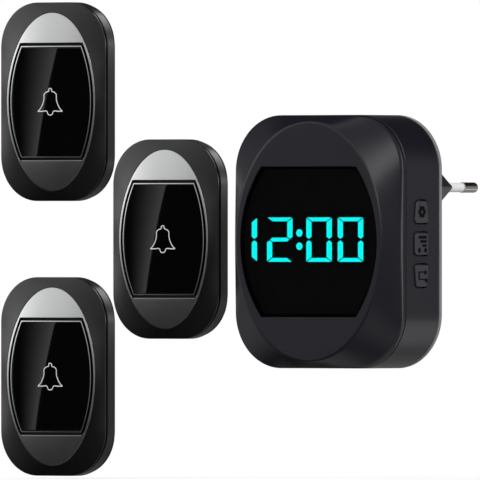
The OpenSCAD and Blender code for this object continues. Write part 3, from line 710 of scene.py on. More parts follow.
def hand_over(piece, body, slot, finish=None, nodes=()):
    """Smooths a finished piece, gives it its finish and lets it ride on its body."""
    alone(piece)
    bpy.ops.object.shade_smooth_by_angle(angle=SMOOTH_ANGLE)
    # Faces under a square millimetre are too small for this modifier, so it works on an enlarged piece.
    enlarge(piece, 1.0 / MM)
    apply(piece, "WEIGHTED_NORMAL", keep_sharp=True)
    enlarge(piece, MM)
    piece.data.materials.clear()
    piece.data.materials.append(finish or FINISHES[slot])
    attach(piece, body)
    if nodes:
        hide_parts(*nodes)
    print(piece.name, "has", len(piece.data.polygons), "faces")


# %% [markdown]
# Three outlines return all over the set: a box with round corners, an oval, and a barrel whose sides bow out.
# They could be drawn as curves, but then the number of their points would be out of hand, and two rims
# bridge cleanly only with equally many. So the round corners are a vertex bevel on a plane, the oval is a
# squeezed circle, and the barrel's sides are spun from its lower corners, as a compass would draw them.

# %% Outlines
CORNER_STEPS = 24
TO_FRONT = (math.pi / 2, 0.0, 0.0)


def front_plane(name, width, height, depth, centre):
    """A plane that faces the front, left in edit mode with all selected."""
    piece = fresh(
        name, "plane", size=1.0, location=(centre[0], depth, centre[1]), rotation=TO_FRONT,
        stretch=(width, 1.0, height),
    )
    begin_edit(piece)
    return piece


def rounded_rim(name, width, height, corner, depth, centre=(0.0, 0.0), inset=0.0, steps=None):
    """An open rim with round corners, its straight sides in steps, left in edit mode with all selected."""
    piece = front_plane(name, width - 2 * inset, height - 2 * inset, depth, centre)
    round_off(corner - inset, CORNER_STEPS, offset_type="OFFSET", affect="VERTICES")
    bpy.ops.mesh.select_all(action="SELECT")
    bpy.ops.mesh.delete(type="ONLY_FACE")
    if steps:
        pick(piece, "EDGE", lambda spot: abs(spot.x - centre[0]) > width / 2 - inset - NEAR)
        bpy.ops.mesh.subdivide(number_cuts=steps[0] - 1)
        pick(piece, "EDGE", lambda spot: abs(spot.z - centre[1]) > height / 2 - inset - NEAR)
        bpy.ops.mesh.subdivide(number_cuts=steps[1] - 1)
    bpy.ops.mesh.select_all(action="SELECT")
    return piece


def rim_points(steps):
    """How many points a rounded rim has, so that an oval can have as many."""
    return 4 * CORNER_STEPS + 2 * sum(steps)


def oval_rim(name, half_width, half_height, depth, points, centre=(0.0, 0.0)):
    """An open oval rim. Half a step of turn puts its points beside the axes, as on a rounded rim."""
    return fresh(
        name, "circle", vertices=points, radius=1.0, fill_type="NOTHING",
        location=(centre[0], depth, centre[1]), rotation=(math.pi / 2, math.pi / points, 0.0),
        stretch=(half_width, 1.0, half_height),
    )


def barrel_sides(name, width, height, bow, depth, steps, centre=(0.0, 0.0)):
    """The two bowed sides of a barrel, spun from its lower corners, left in edit mode."""
    half_angle = math.asin(height / 2 / bow)
    corner = width / 2 - bow * (1 - math.cos(half_angle))
    bottom = centre[1] - height / 2
    piece = front_plane(name, 2 * corner, height, depth, centre)
    pick(piece, "VERT", lambda spot: spot.z > centre[1])
    bpy.ops.mesh.delete(type="VERT")
    pick(piece, "EDGE")
    bpy.ops.mesh.delete(type="EDGE_FACE")
    for side in (1, -1):
        pick(piece, "VERT", lambda spot: (spot.x - centre[0]) * side > NEAR and spot.z < bottom + NEAR)
        pivot = (centre[0] + side * (width / 2 - bow), depth, centre[1])
        bpy.ops.mesh.spin(steps=steps, angle=side * 2 * half_angle, center=pivot, axis=(0.0, 1.0, 0.0))
    return piece


def barrel_rim(name, width, height, bow, depth, steps, ends, centre=(0.0, 0.0)):
    """The closed rim of a barrel, its straight ends divided."""
    piece = barrel_sides(name, width, height, bow, depth, steps, centre)
    for end in (1, -1):
        pick(piece, "VERT", lambda spot: abs(spot.z - centre[1] - end * height / 2) < NEAR)
        bpy.ops.mesh.edge_face_add()
        bpy.ops.mesh.subdivide(number_cuts=ends - 1)
    return piece


# %% [markdown]
# The receiver's case is one black moulding: a straight wall with round corners, whose front bevels up to
# an oval. Bridging the wall's rim to the oval gives that bevel, with the corners flowing into the oval.
# A hair-wide groove runs behind the front edge, and is pulled in with the wall instead of being cut later.

# %% Receiver case
case_low, case_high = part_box("receiver_housing")
CASE_W = case_high.x - case_low.x
CASE_H = case_high.z - case_low.z
CASE_CORNER = 21.5 * MM
CASE_WALL = 2 * MM
CASE_BACK = -3 * MM
CASE_FRONT = case_low.y
CASE_EDGE = CASE_FRONT + 6.5 * MM
EDGE_ROUND = 1.1 * MM
GROOVE = 0.3 * MM
GROOVE_AT = CASE_EDGE + 2.3 * MM
GROOVE_FLOOR = 0.2 * MM
GROOVE_MOUTH = 0.4 * MM
CASE_STEPS = (39, 27)
CASE_POINTS = rim_points(CASE_STEPS)
CASE_CUTS = 3
FACE_HALF_W = 35 * MM
FACE_HALF_H = 46 * MM
window_low, window_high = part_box("display_window")
WINDOW_W = window_high.x - window_low.x
WINDOW_H = window_high.z - window_low.z
WINDOW_BOW = 46.5 * MM
WINDOW_GAP = 0.15 * MM
WINDOW_LEDGE = 1.2 * MM
WINDOW_STEPS = 84
HOLE_W = WINDOW_W + 2 * WINDOW_GAP
HOLE_H = WINDOW_H + 2 * WINDOW_GAP

shell = rounded_rim("receiver_shell", CASE_W, CASE_H, CASE_CORNER, CASE_BACK, steps=CASE_STEPS, inset=GROOVE)
run_rim(CASE_W, CASE_H, (0.0, 0.0), (CASE_BACK, GROOVE), [
    (CASE_BACK - GROOVE, 0.0),
    (GROOVE_AT + GROOVE_MOUTH, 0.0),
    (GROOVE_AT + GROOVE_FLOOR, GROOVE),
    (GROOVE_AT - GROOVE_FLOOR, GROOVE),
    (GROOVE_AT - GROOVE_MOUTH, 0.0),
    (CASE_EDGE, 0.0),
])
oval = oval_rim("oval", FACE_HALF_W, FACE_HALF_H, CASE_FRONT, CASE_POINTS)
join(shell, oval)
begin_edit(shell)
pick(shell, "EDGE", at_depth(CASE_EDGE, CASE_FRONT))
bpy.ops.mesh.bridge_edge_loops(number_cuts=CASE_CUTS, interpolation="LINEAR")
face_ring = barrel_rim(
    "face_ring", HOLE_W, HOLE_H, WINDOW_BOW + WINDOW_GAP, CASE_FRONT,
    steps=WINDOW_STEPS, ends=CASE_POINTS // 2 - WINDOW_STEPS,
)
join(face_ring, oval_rim("oval", FACE_HALF_W, FACE_HALF_H, CASE_FRONT, CASE_POINTS))
begin_edit(face_ring)
pick(face_ring, "EDGE")
bpy.ops.mesh.bridge_edge_loops()
join(shell, face_ring)
begin_edit(shell)
bpy.ops.mesh.remove_doubles(threshold=NEAR / 10)
print("receiver case lofted:", len(shell.data.vertices), "points")

# %% [markdown]
# The window lies on a narrow ledge in the face, and the wall of the case is two millimetres thick.
# Solidify would thicken the flat bevel unevenly, so the inside is a smaller rim of its own, which is bridged
# to the ledge in front and to the wall at the back. The two front edges are rounded once the shell is closed.

# %% Window recess and inner skin of the case
LEDGE_T = 1.1 * MM
SKIN_FRONT = CASE_EDGE + 1.2 * MM
OVAL_ROUND = 0.7 * MM
OVAL_NEAR = 0.999
recess = window_high.y
inner_face = recess + LEDGE_T

skin = rounded_rim("skin", CASE_W, CASE_H, CASE_CORNER, SKIN_FRONT, steps=CASE_STEPS, inset=CASE_WALL)
run_rim(CASE_W, CASE_H, (0.0, 0.0), (SKIN_FRONT, CASE_WALL), [(CASE_BACK, CASE_WALL)])
begin_edit(shell)
pick(shell, "EDGE", at_depth(CASE_FRONT), open_only=True)
run_rim(HOLE_W, HOLE_H, (0.0, 0.0), (CASE_FRONT, 0.0), [
    (recess, 0.0),
    (recess, WINDOW_LEDGE),
    (inner_face, WINDOW_LEDGE),
])
join(shell, skin)
begin_edit(shell)
pick(shell, "EDGE", at_depth(inner_face, SKIN_FRONT), open_only=True)
bpy.ops.mesh.bridge_edge_loops()
close_up(shell)


def on_oval(spot):
    """True on the oval edge of the receiver's face."""
    reach = (spot.x / FACE_HALF_W) ** 2 + (spot.z / FACE_HALF_H) ** 2
    return at_depth(CASE_FRONT)(spot) and reach > OVAL_NEAR


pick(shell, "EDGE", at_depth(CASE_EDGE))
round_off(EDGE_ROUND, 5)
pick(shell, "EDGE", on_oval)
round_off(OVAL_ROUND, 4)
bpy.ops.object.mode_set(mode="OBJECT")
print("receiver case closed:", len(shell.data.vertices), "points")

# %% [markdown]
# Three keys sit in the right wall, in a row, the outer two drawn in at their far ends.
# Each is a plane shaped by moving two corners, rounded, pulled into depth and softened at its face.
# The same outline, grown by the gap, cuts the openings in the case.

# %% Side keys and their openings
KEYS = {"upper_key": 1, "middle_key": 0, "lower_key": -1}
KEY_W = 8.6 * MM
KEY_H = 8.4 * MM
KEY_TAPER = 0.9 * MM
KEY_CORNER = 1.3 * MM
KEY_GAP = 0.65 * MM
KEY_FLANGE = 1.1 * MM
KEY_FLANGE_T = 0.8 * MM
KEY_CLEAR = 0.5 * MM
KEY_ROUND = 0.4 * MM
TO_SIDE = (0.0, math.pi / 2, 0.0)


def key_sheet(name, key, end, grow, place_x):
    """A key's outline in the side wall's plane, facing right, left in edit mode."""
    low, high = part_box(key)
    centre = ((low.y + high.y) / 2, (low.z + high.z) / 2)
    piece = fresh(
        name, "plane", size=1.0, location=(place_x, *centre), rotation=TO_SIDE,
        stretch=(1.0, KEY_W + 2 * grow, KEY_H + 2 * grow),
    )
    begin_edit(piece)
    if end:
        pick(piece, "VERT", lambda spot: (spot.z - centre[1]) * end > 0)
        narrowed = (KEY_W + 2 * grow - 2 * KEY_TAPER) / (KEY_W + 2 * grow)
        bpy.ops.transform.resize(value=(1.0, narrowed, 1.0), center_override=(place_x, *centre))
    bpy.ops.mesh.select_all(action="SELECT")
    round_off(KEY_CORNER + grow, 8, affect="VERTICES")
    bpy.ops.mesh.select_all(action="SELECT")
    return piece


for key, end in KEYS.items():
    tool = key_sheet("key_tool", key, end, KEY_GAP, CASE_W / 2 - 2 * CASE_WALL)
    pull(3 * CASE_WALL)
    turn_outwards()
    carve(shell, tool)
hand_over(shell, "units", "receiver_black", nodes=["receiver_housing"])

for key, end in KEYS.items():
    low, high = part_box(key)
    cap = key_sheet(f"{key}_cap", key, end, 0.0, high.x)
    pull(low.x + KEY_CLEAR - high.x)
    turn_outwards()
    face_x = high.x
    pick(cap, "EDGE", lambda spot: abs(spot.x - face_x) < NEAR)
    round_off(KEY_ROUND, 4)
    flange = key_sheet("flange", key, end, KEY_FLANGE, low.x + KEY_CLEAR)
    pull(KEY_FLANGE_T)
    turn_outwards()
    carve(cap, flange, operation="UNION")
    hand_over(cap, key, "key_black", nodes=[key])

# %% [markdown]
# The keys carry small dark signs: a flower for the light, rising bars for loudness and a pair of notes
# for the tune. The receiver is read from the side, so the signs lie on their sides.
# They could be painted by the shader, but prints of a few strokes are cleaner as thin blanks: each sign is
# a few discs and bars, set into the key's face and a hair proud of it.

# %% Key signs
SIGN_SINK = 0.06 * MM
SIGN_PROUD = 0.03 * MM
DISC_POINTS = 24
PETALS = 6
PETAL_OUT = 1.5
PETAL_R = 0.95
petal_turns = [k * math.tau / PETALS for k in range(PETALS)]
petals = [(PETAL_OUT * math.cos(t), PETAL_OUT * math.sin(t), PETAL_R) for t in petal_turns]
# Discs by place and radius, then bars by place, width and height, in mm from the middle of the key.
SIGNS = {
    "upper_key": (petals, []),
    "middle_key": (
        [(-1.7, -2.5, 0.95), (2.3, -2.5, 0.95)],
        [(0.4, 2.5, 5.2, 1.15), (0.9, 0.9, 4.0, 1.05), (1.5, -0.7, 2.8, 1.0)],
    ),
    "lower_key": (
        [(2.1, 1.25, 0.85), (2.6, -1.75, 0.85)],
        [(-1.9, 0.0, 0.9, 3.3), (-0.1, 1.4, 3.8, 0.5), (0.3, -1.4, 4.2, 0.5)],
    ),
}


def sign_blank(key, discs, bars):
    """The sign's discs and bars as thin blanks in the key's face."""
    low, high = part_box(key)
    x, y, z = high.x - SIGN_SINK, (low.y + high.y) / 2, (low.z + high.z) / 2
    for u, v, radius in discs:
        yield fresh(
            "sign_disc", "circle", vertices=DISC_POINTS, radius=radius * MM, fill_type="NGON",
            location=(x, y + u * MM, z + v * MM), rotation=TO_SIDE,
        )
    for u, v, wide, high_by in bars:
        yield fresh(
            "sign_bar", "plane", size=1.0, location=(x, y + u * MM, z + v * MM), rotation=TO_SIDE,
            stretch=(1.0, wide * MM, high_by * MM),
        )


for key, (discs, bars) in SIGNS.items():
    blanks = list(sign_blank(key, discs, bars))
    for blank_part in blanks:
        begin_edit(blank_part)
        pull(SIGN_SINK + SIGN_PROUD)
        turn_outwards()
    sign = blanks[0]
    carve(sign, *blanks[1:], operation="UNION")
    sign.name = f"{key}_sign"
    hand_over(sign, key, "switch_black", finish=sign_dark)

# %% [markdown]
# The display window is a sheet of smoked acrylic with bowed sides, let into the case almost flush.
# Its two bowed sides are bridged into a face, which is pulled to its thickness and lightly broken at the
# edge, as a cut sheet is, so that the edge catches a hair of light.

# %% Display window
PANE_STEPS = 36
PANE_BREAK = 0.05 * MM

pane = barrel_sides("clock_window", WINDOW_W, WINDOW_H, WINDOW_BOW, window_low.y, PANE_STEPS)
bpy.ops.mesh.select_all(action="SELECT")
bpy.ops.mesh.bridge_edge_loops()
bpy.ops.mesh.select_all(action="SELECT")
pull(y=window_high.y - window_low.y)
turn_outwards()
soften(pane, PANE_BREAK, 2)
hand_over(pane, "units", "smoked_window", nodes=["display_window"])

# %% [markdown]
# The rear cover is a grey tray with a chamfered edge, pulled rim by rim as the case is.
# The plug's boss is a dark hexagonal block set into it, which narrows towards the pins: a plane whose short
# ends are split and drawn out to points, pulled back and scaled down at its far end.

# %% Rear cover
BACK_CHAMFER = 1.2 * MM
BACK_RIM = 2.7 * MM
BACK_PLATE = 2 * MM
BACK_LIP = 2.2 * MM
pin_low, pin_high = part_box("plug_pins")
sleeve_low, sleeve_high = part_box("pin_sleeves")
PIN_D = pin_high.z - pin_low.z
SLEEVE_D = sleeve_high.z - sleeve_low.z
PLUG = Vector(((pin_low.x + pin_high.x) / 2, 0.0, (pin_low.z + pin_high.z) / 2))
PIN_PITCH = pin_high.x - pin_low.x - PIN_D
BOSS_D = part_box("receiver_rear_cover")[1].y
BOSS_BASE = (34 * MM, 14 * MM, 7.5 * MM)
BOSS_END = (26 * MM, 11 * MM)
BOSS_ROUND = 0.8 * MM
BACK_EDGE = 0.2 * MM

cover = rounded_rim("receiver_back", CASE_W, CASE_H, CASE_CORNER, 0.0, inset=BACK_CHAMFER)
bpy.ops.mesh.edge_face_add()
pick(cover, "EDGE", at_depth(0.0))
run_rim(CASE_W, CASE_H, (0.0, 0.0), (0.0, BACK_CHAMFER), [
    (-BACK_CHAMFER, 0.0),
    (-BACK_RIM + BACK_EDGE, 0.0),
    (-BACK_RIM, BACK_EDGE),
    (-BACK_RIM, BACK_LIP),
    (-BACK_PLATE, BACK_LIP),
])
bpy.ops.mesh.edge_face_add()
turn_outwards()

boss = front_plane(
    "plug_boss", BOSS_BASE[0] - 2 * BOSS_BASE[2], BOSS_BASE[1], -BACK_PLATE / 2, (PLUG.x, PLUG.z)
)
for side in (1, -1):
    pick(boss, "EDGE", lambda spot: (spot.x - PLUG.x) * side > 0)
    bpy.ops.mesh.subdivide(number_cuts=1)
    pick(boss, "VERT", lambda spot: (spot.x - PLUG.x) * side > 0 and abs(spot.z - PLUG.z) < NEAR)
    bpy.ops.transform.translate(value=(side * BOSS_BASE[2], 0.0, 0.0))
bpy.ops.mesh.select_all(action="SELECT")
pull(y=BOSS_D + BACK_PLATE / 2)
narrow = (BOSS_END[0] / BOSS_BASE[0], 1.0, BOSS_END[1] / BOSS_BASE[1])
bpy.ops.transform.resize(value=narrow, center_override=(PLUG.x, BOSS_D, PLUG.z))
turn_outwards()
pick(boss, "EDGE")
round_off(BOSS_ROUND, 4)
turn_outwards()
print("boss stands out by mm:", round(BOSS_D / MM, 1))

# %% [markdown]
# The speaker sounds through a grille of slots, and four recesses take the heads of the case screws.
# Such holes go straight through a flat wall, so cutting them with Booleans leaves no bad faces.
# Each slot's cutter is a plane with fully round ends, as long as the speaker's disc is wide at that height.

# %% Slots, bores and screw recesses of the rear cover
speaker_low, speaker_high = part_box("speaker_frame")
SPEAKER = (speaker_low + speaker_high) / 2
SPEAKER_R = (speaker_high.x - speaker_low.x) / 2
SLOT_W = 1.8 * MM
SLOT_PITCH = 4 * MM
SLOT_ROWS = 3
SLOT_MARGIN = 3 * MM
SLOT_END = 0.495 * SLOT_W
BORE_GAP = 0.05 * MM
BORE_DEEP = 3 * MM
RECESS_GAP = 0.2 * MM
RECESS_DEEP = 1.3 * MM
COVER_BREAK = 0.15 * MM
COVER_SHARP = math.radians(50)
BAR_POINTS = 48
screw_low, screw_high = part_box("case_screws")
SCREW_HEAD = 2.4 * MM
SCREW_SPOTS = [
    (x, z) for x in (screw_low.x + SCREW_HEAD, screw_high.x - SCREW_HEAD)
    for z in (screw_low.z + SCREW_HEAD, screw_high.z - SCREW_HEAD)
]


def bar_tool(radius, spot, y_from, y_to):
    """A round cutter along Y."""
    return fresh(
        "bar_tool", "cylinder", vertices=BAR_POINTS, radius=radius, depth=y_to - y_from,
        location=(spot[0], (y_from + y_to) / 2, spot[1]), rotation=TO_FRONT,
    )


tools = []
for row in range(-SLOT_ROWS, SLOT_ROWS + 1):
    rise_by = row * SLOT_PITCH
    length = 2 * math.sqrt((SPEAKER_R - SLOT_MARGIN) ** 2 - rise_by**2)
    slot_tool = front_plane("slot_tool", length, SLOT_W, MM, (SPEAKER.x, SPEAKER.z + rise_by))
    round_off(SLOT_END, 8, affect="VERTICES")
    bpy.ops.mesh.select_all(action="SELECT")
    pull(y=-BACK_PLATE - 2 * MM)
    turn_outwards()
    tools.append(slot_tool)
tools += [bar_tool(SCREW_HEAD + RECESS_GAP, spot, -RECESS_DEEP, MM) for spot in SCREW_SPOTS]
carve(cover, *tools)
PIN_SPOTS = [(PLUG.x + side * PIN_PITCH / 2, PLUG.z) for side in (-1, 1)]
carve(boss, *[bar_tool(SLEEVE_D / 2 + BORE_GAP, spot, BOSS_D - BORE_DEEP, BOSS_D + MM) for spot in PIN_SPOTS])
for piece, slot in ((cover, "rear_grey"), (boss, "receiver_black")):
    soften(piece, COVER_BREAK, 2, COVER_SHARP)
    hand_over(piece, "units", slot, nodes=["receiver_rear_cover"])

# %% [markdown]
# The plug has two round pins: a pale sleeve out of the boss, then a bare nickelled end with a rounded tip.
# Each is a cylinder whose end loop is bevelled round. A sphere on the end would give a seam to hide.

# %% Plug pins and sleeves
PIN_TIP = 1.3 * MM
SLEEVE_TIP = 0.3 * MM
SLEEVE_SEAM = 0.05 * MM
SLEEVE_DEEP = 2.9 * MM


def bar_pair(name, radius, y_from, y_to, tip):
    """A bar along Y on both pin places, its far end rounded by tip, as one piece."""
    pair = []
    for spot in PIN_SPOTS:
        bar = bar_tool(radius, spot, y_from, y_to)
        begin_edit(bar)
        pick(bar, "EDGE", at_depth(y_to))
        round_off(tip, 6)
        pair.append(bar)
    pair[0].name = name
    return join(*pair)


pins = bar_pair("plug_pin_pair", PIN_D / 2, sleeve_high.y + SLEEVE_SEAM, pin_high.y, PIN_TIP)
hand_over(pins, "units", "pin_nickel", nodes=["plug_pins"])
sleeves = bar_pair("pin_sleeve_pair", SLEEVE_D / 2, BOSS_D - SLEEVE_DEEP, sleeve_high.y, SLEEVE_TIP)
hand_over(sleeves, "units", "sleeve_white", nodes=["pin_sleeves"])

# %% [markdown]
# The three buttons are alike, so each piece is modelled once, on the upper left one, and copied with its
# own mesh. Their fronts share one very flat dome. A Cast modifier pulls points onto that sphere, which an
# empty marks, so plate, panel and line lie flush without any of them being bent by hand.


# %% The buttons' dome and places
def middle_of(button):
    """The middle of a button's case."""
    low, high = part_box(f"{button}_body_case")
    return (low + high) / 2


MIDDLES = {button: middle_of(button) for button in BUTTONS}
HOME = MIDDLES[BUTTONS[0]]
HOME_XZ = (HOME.x, HOME.z)
DOME_RADIUS = 0.5
CROWN_AT = panel_low.y


def dome(piece, proud=0.0):
    """Pulls all points of a piece onto the buttons' dome, proud of it by a little."""
    alone(piece)
    bpy.ops.object.empty_add(location=(HOME.x, CROWN_AT + DOME_RADIUS, HOME.z))
    pole = bpy.context.object
    apply(
        piece, "CAST", cast_type="SPHERE", object=pole, factor=1.0, size=DOME_RADIUS + proud,
        use_radius_as_size=False,
    )
    bpy.data.objects.remove(pole)


def face_front(piece):
    """Turns an open sheet's faces to the front."""
    begin_edit(piece)
    bpy.ops.mesh.normals_make_consistent(inside=False)
    bpy.ops.object.mode_set(mode="OBJECT")
    if sum(face.normal.y for face in piece.data.polygons) > 0:
        begin_edit(piece)
        bpy.ops.mesh.flip_normals()


def on_every_button(piece, part, body, slot, finishes=None, nodes=()):
    """Copies a piece to all buttons and hands it over, on each one's moving body if none is named."""
    made = {BUTTONS[0]: piece}
    for button in BUTTONS[1:]:
        alone(piece)
        bpy.ops.object.duplicate()
        made[button] = bpy.context.object
        bpy.ops.transform.translate(value=MIDDLES[button] - HOME)
        bpy.ops.object.transform_apply(location=True, rotation=True, scale=True)
    for button, copy in made.items():
        copy.name = f"{button}_{part}"
        copy.data.name = copy.name
        own_nodes = [f"{button}_{node}" for node in nodes]
        hand_over(copy, body or f"{button}_button", slot, (finishes or {}).get(button), own_nodes)


print("button middles in mm:", [[round(x / MM, 2) for x in spot] for spot in MIDDLES.values()])

# %% [markdown]
# A button's case is a low dark grey wall, closed in front by a black bezel that rises to an oval.
# The wall and the deck inside it are one ring, pulled round from a single rim, so every edge along it has
# the same rounding. The hole in the deck lets the plunger of the switch through.

# %% Button side wall
side_low, side_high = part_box("transmitter_1_body_case")
BUTTON_W = side_high.x - side_low.x
BUTTON_H = side_high.z - side_low.z
BUTTON_CORNER = 18 * MM
BUTTON_WALL = 1.6 * MM
SIDE_ROUND = 0.35 * MM
WALL_FRONT = side_low.y + 0.7 * MM
DECK_FRONT = side_low.y + 0.9 * MM
DECK_T = 0.6 * MM
PLUNGER_HOLE = 2.2 * MM

wall = rounded_rim(
    "side_wall", BUTTON_W, BUTTON_H, BUTTON_CORNER, side_high.y, centre=HOME_XZ, inset=SIDE_ROUND
)
run_rim(BUTTON_W, BUTTON_H, HOME_XZ, (side_high.y, SIDE_ROUND), [
    (side_high.y - SIDE_ROUND, 0.0),
    (WALL_FRONT + SIDE_ROUND / 2, 0.0),
    (WALL_FRONT, SIDE_ROUND / 2),
    (WALL_FRONT, BUTTON_WALL),
    (DECK_FRONT, BUTTON_WALL),
])
bpy.ops.mesh.edge_face_add()
pick(wall, "EDGE", at_depth(side_high.y), open_only=True)
run_rim(BUTTON_W, BUTTON_H, HOME_XZ, (side_high.y, SIDE_ROUND), [
    (side_high.y, BUTTON_WALL),
    (DECK_FRONT + DECK_T, BUTTON_WALL),
])
bpy.ops.mesh.edge_face_add()
turn_outwards()
carve(wall, bar_tool(PLUNGER_HOLE, HOME_XZ, DECK_FRONT - MM, DECK_FRONT + DECK_T + MM))
on_every_button(wall, "side_wall", "units", "case_charcoal", nodes=["body_case"])

# %% [markdown]
# The bezel starts as two open rims. The outer one follows the wall, set in at the back by a millimetre, which
# leaves a fine dark seam between the two. The inner one is the oval on the dome, turned in to a short wall
# that frames the silver plate. Both have the same number of points, so they can be bridged.

# %% Button bezel
trim_low, trim_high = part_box("transmitter_1_trim_plate")
BEZEL_BACK = side_low.y - 0.3 * MM
TRIM_HALF_W = (trim_high.x - trim_low.x) / 2
TRIM_HALF_H = (trim_high.z - trim_low.z) / 2
RIM = 0.3 * MM
RISE_HALF_W = TRIM_HALF_W + RIM
RISE_HALF_H = TRIM_HALF_H + RIM
RISE_WALL = 0.8 * MM
SEAM_DEEP = 1.0 * MM
BEZEL_STEPS = (35, 13)
LIP = BEZEL_BACK - 0.55 * MM
LIP_T = 0.35 * MM

bezel = rounded_rim(
    "bezel_ring", BUTTON_W, BUTTON_H, BUTTON_CORNER, BEZEL_BACK,
    centre=HOME_XZ, inset=SEAM_DEEP, steps=BEZEL_STEPS,
)
lip_run = [(LIP + LIP_T, SEAM_DEEP), (LIP + LIP_T, 0.0), (LIP, 0.0)]
run_rim(BUTTON_W, BUTTON_H, HOME_XZ, (BEZEL_BACK, SEAM_DEEP), lip_run)
rise_rim = oval_rim(
    "rise_rim", RISE_HALF_W, RISE_HALF_H, trim_low.y, rim_points(BEZEL_STEPS), centre=HOME_XZ
)
dome(rise_rim)
begin_edit(rise_rim)
inner = ((TRIM_HALF_W + RIM / 3) / RISE_HALF_W, 1.0, (TRIM_HALF_H + RIM / 3) / RISE_HALF_H)
pull_rim(0.0)
bpy.ops.transform.resize(value=inner, center_override=(HOME.x, trim_low.y, HOME.z))
pull_rim(RISE_WALL)
bpy.ops.object.mode_set(mode="OBJECT")
print("bezel rim:", len(rise_rim.data.vertices), "points")

# %% [markdown]
# The bezel's outer lip and the domed oval are bridged in a few steps, which gives its rising band.
# The back of the ring is closed from the oval's inner wall to the lip, and both edges are rounded.

# %% Bezel closed into a ring
BAND_CUTS = 5
BEZEL_ROUND = 0.12 * MM
RISE_NEAR = 0.007


def on_rise(spot):
    """True on the bezel's oval edge."""
    across = ((spot.x - HOME.x) / RISE_HALF_W) ** 2
    upward = ((spot.z - HOME.z) / RISE_HALF_H) ** 2
    return abs(across + upward - 1.0) < RISE_NEAR and spot.y < LIP - RIM


join(bezel, rise_rim)
begin_edit(bezel)
pick(bezel, "EDGE", lambda spot: at_depth(LIP)(spot) or on_rise(spot), open_only=True)
bpy.ops.mesh.bridge_edge_loops(number_cuts=BAND_CUTS, interpolation="LINEAR")
close_up(bezel)
for test in (at_depth(LIP), on_rise):
    pick(bezel, "EDGE", test)
    round_off(BEZEL_ROUND, 3)
on_every_button(bezel, "bezel_ring", "units", "bezel_black", nodes=["bezel"])

# %% [markdown]
# Inside the oval lies a thin silver plate with a barrel-shaped hole for the panel.
# The hole's rim and the oval have the same number of points, so one bridge makes the whole plate. Odd steps
# put points beside the axes on both rims, as otherwise the pairs would cross and fold the sheet.
# It is pulled onto the dome while it is still a sheet, and only then given its thickness.

# %% Silver plate
PANEL_GAP = 1.05 * MM
PANEL_FLANGE = 1.5 * MM
PANEL_W = panel_high.x - panel_low.x - 2 * PANEL_FLANGE
PANEL_H = panel_high.z - panel_low.z - 2 * PANEL_FLANGE
PANEL_BOW = 49.5 * MM
PLATE_T = trim_high.y - trim_low.y
SIDE_STEPS = 37
END_STEPS = 43
RIM_POINTS = 2 * (SIDE_STEPS + END_STEPS)
PLATE_CUTS = 10
PLATE_NEAR = 0.98
PLATE_ROUND = 0.05 * MM
HOLE_NEAR = 0.25 * MM
HOLE_ROUND = 0.12 * MM


def panel_rim(name, grow):
    """The panel's barrel rim, grown by a distance on all sides."""
    return barrel_rim(
        name, PANEL_W + 2 * grow, PANEL_H + 2 * grow, PANEL_BOW + grow, trim_low.y,
        centre=HOME_XZ, steps=SIDE_STEPS, ends=END_STEPS,
    )


def sheet_between(name, first, second, cuts, proud, thick):
    """A domed sheet between two rims, given its thickness."""
    piece = join(first, second)
    piece.name = name
    begin_edit(piece)
    pick(piece, "EDGE")
    bpy.ops.mesh.bridge_edge_loops(number_cuts=cuts, interpolation="LINEAR")
    dome(piece, proud)
    face_front(piece)
    apply(piece, "SOLIDIFY", thickness=thick, offset=-1.0)
    return piece


def on_plate_edge(spot):
    """True on the silver plate's oval edge."""
    return ((spot.x - HOME.x) / TRIM_HALF_W) ** 2 + ((spot.z - HOME.z) / TRIM_HALF_H) ** 2 > PLATE_NEAR


def on_hole_end(spot):
    """True on the straight ends of the silver plate's hole."""
    return abs(abs(spot.z - HOME.z) - PANEL_H / 2 - PANEL_GAP) < HOLE_NEAR and not on_plate_edge(spot)


plate_edge = oval_rim("plate_edge", TRIM_HALF_W, TRIM_HALF_H, trim_low.y, RIM_POINTS, centre=HOME_XZ)
plate_hole = panel_rim("plate_hole", PANEL_GAP)
plate = sheet_between("silver_plate", plate_hole, plate_edge, PLATE_CUTS, 0.0, PLATE_T)
begin_edit(plate)
for width, test in ((PLATE_ROUND, on_plate_edge), (HOLE_ROUND, on_hole_end)):
    pick(plate, "EDGE", test, sharp_only=True)
    round_off(width, 3)
silver = {button: crowned_silver(f"{button}_silver", MIDDLES[button]) for button in BUTTONS}
on_every_button(plate, "silver_plate", "units", "trim_silver", silver, ["trim_plate"])

# %% [markdown]
# The push panel is polished black acrylic with bowed sides. Its two spun sides are bridged into a fine
# grid, pulled onto the dome and then drawn back to the matt flange that keeps it in the case.
# A thin silver line is printed along its edge. It is a sheet between two rims, as the plate is, because a
# printed line has a clean edge that a pattern in the shader would lose.

# %% Gloss panel and its silver line
FLANGE_TOP = panel_high.y - 0.7 * MM
PANEL_BACK = panel_high.y - 0.3 * MM
LINE_INSET = 0.1 * MM
LINE_W = 0.36 * MM
LINE_PROUD = 0.06 * MM
LINE_T = 0.12 * MM
PANEL_ROUND = 0.12 * MM

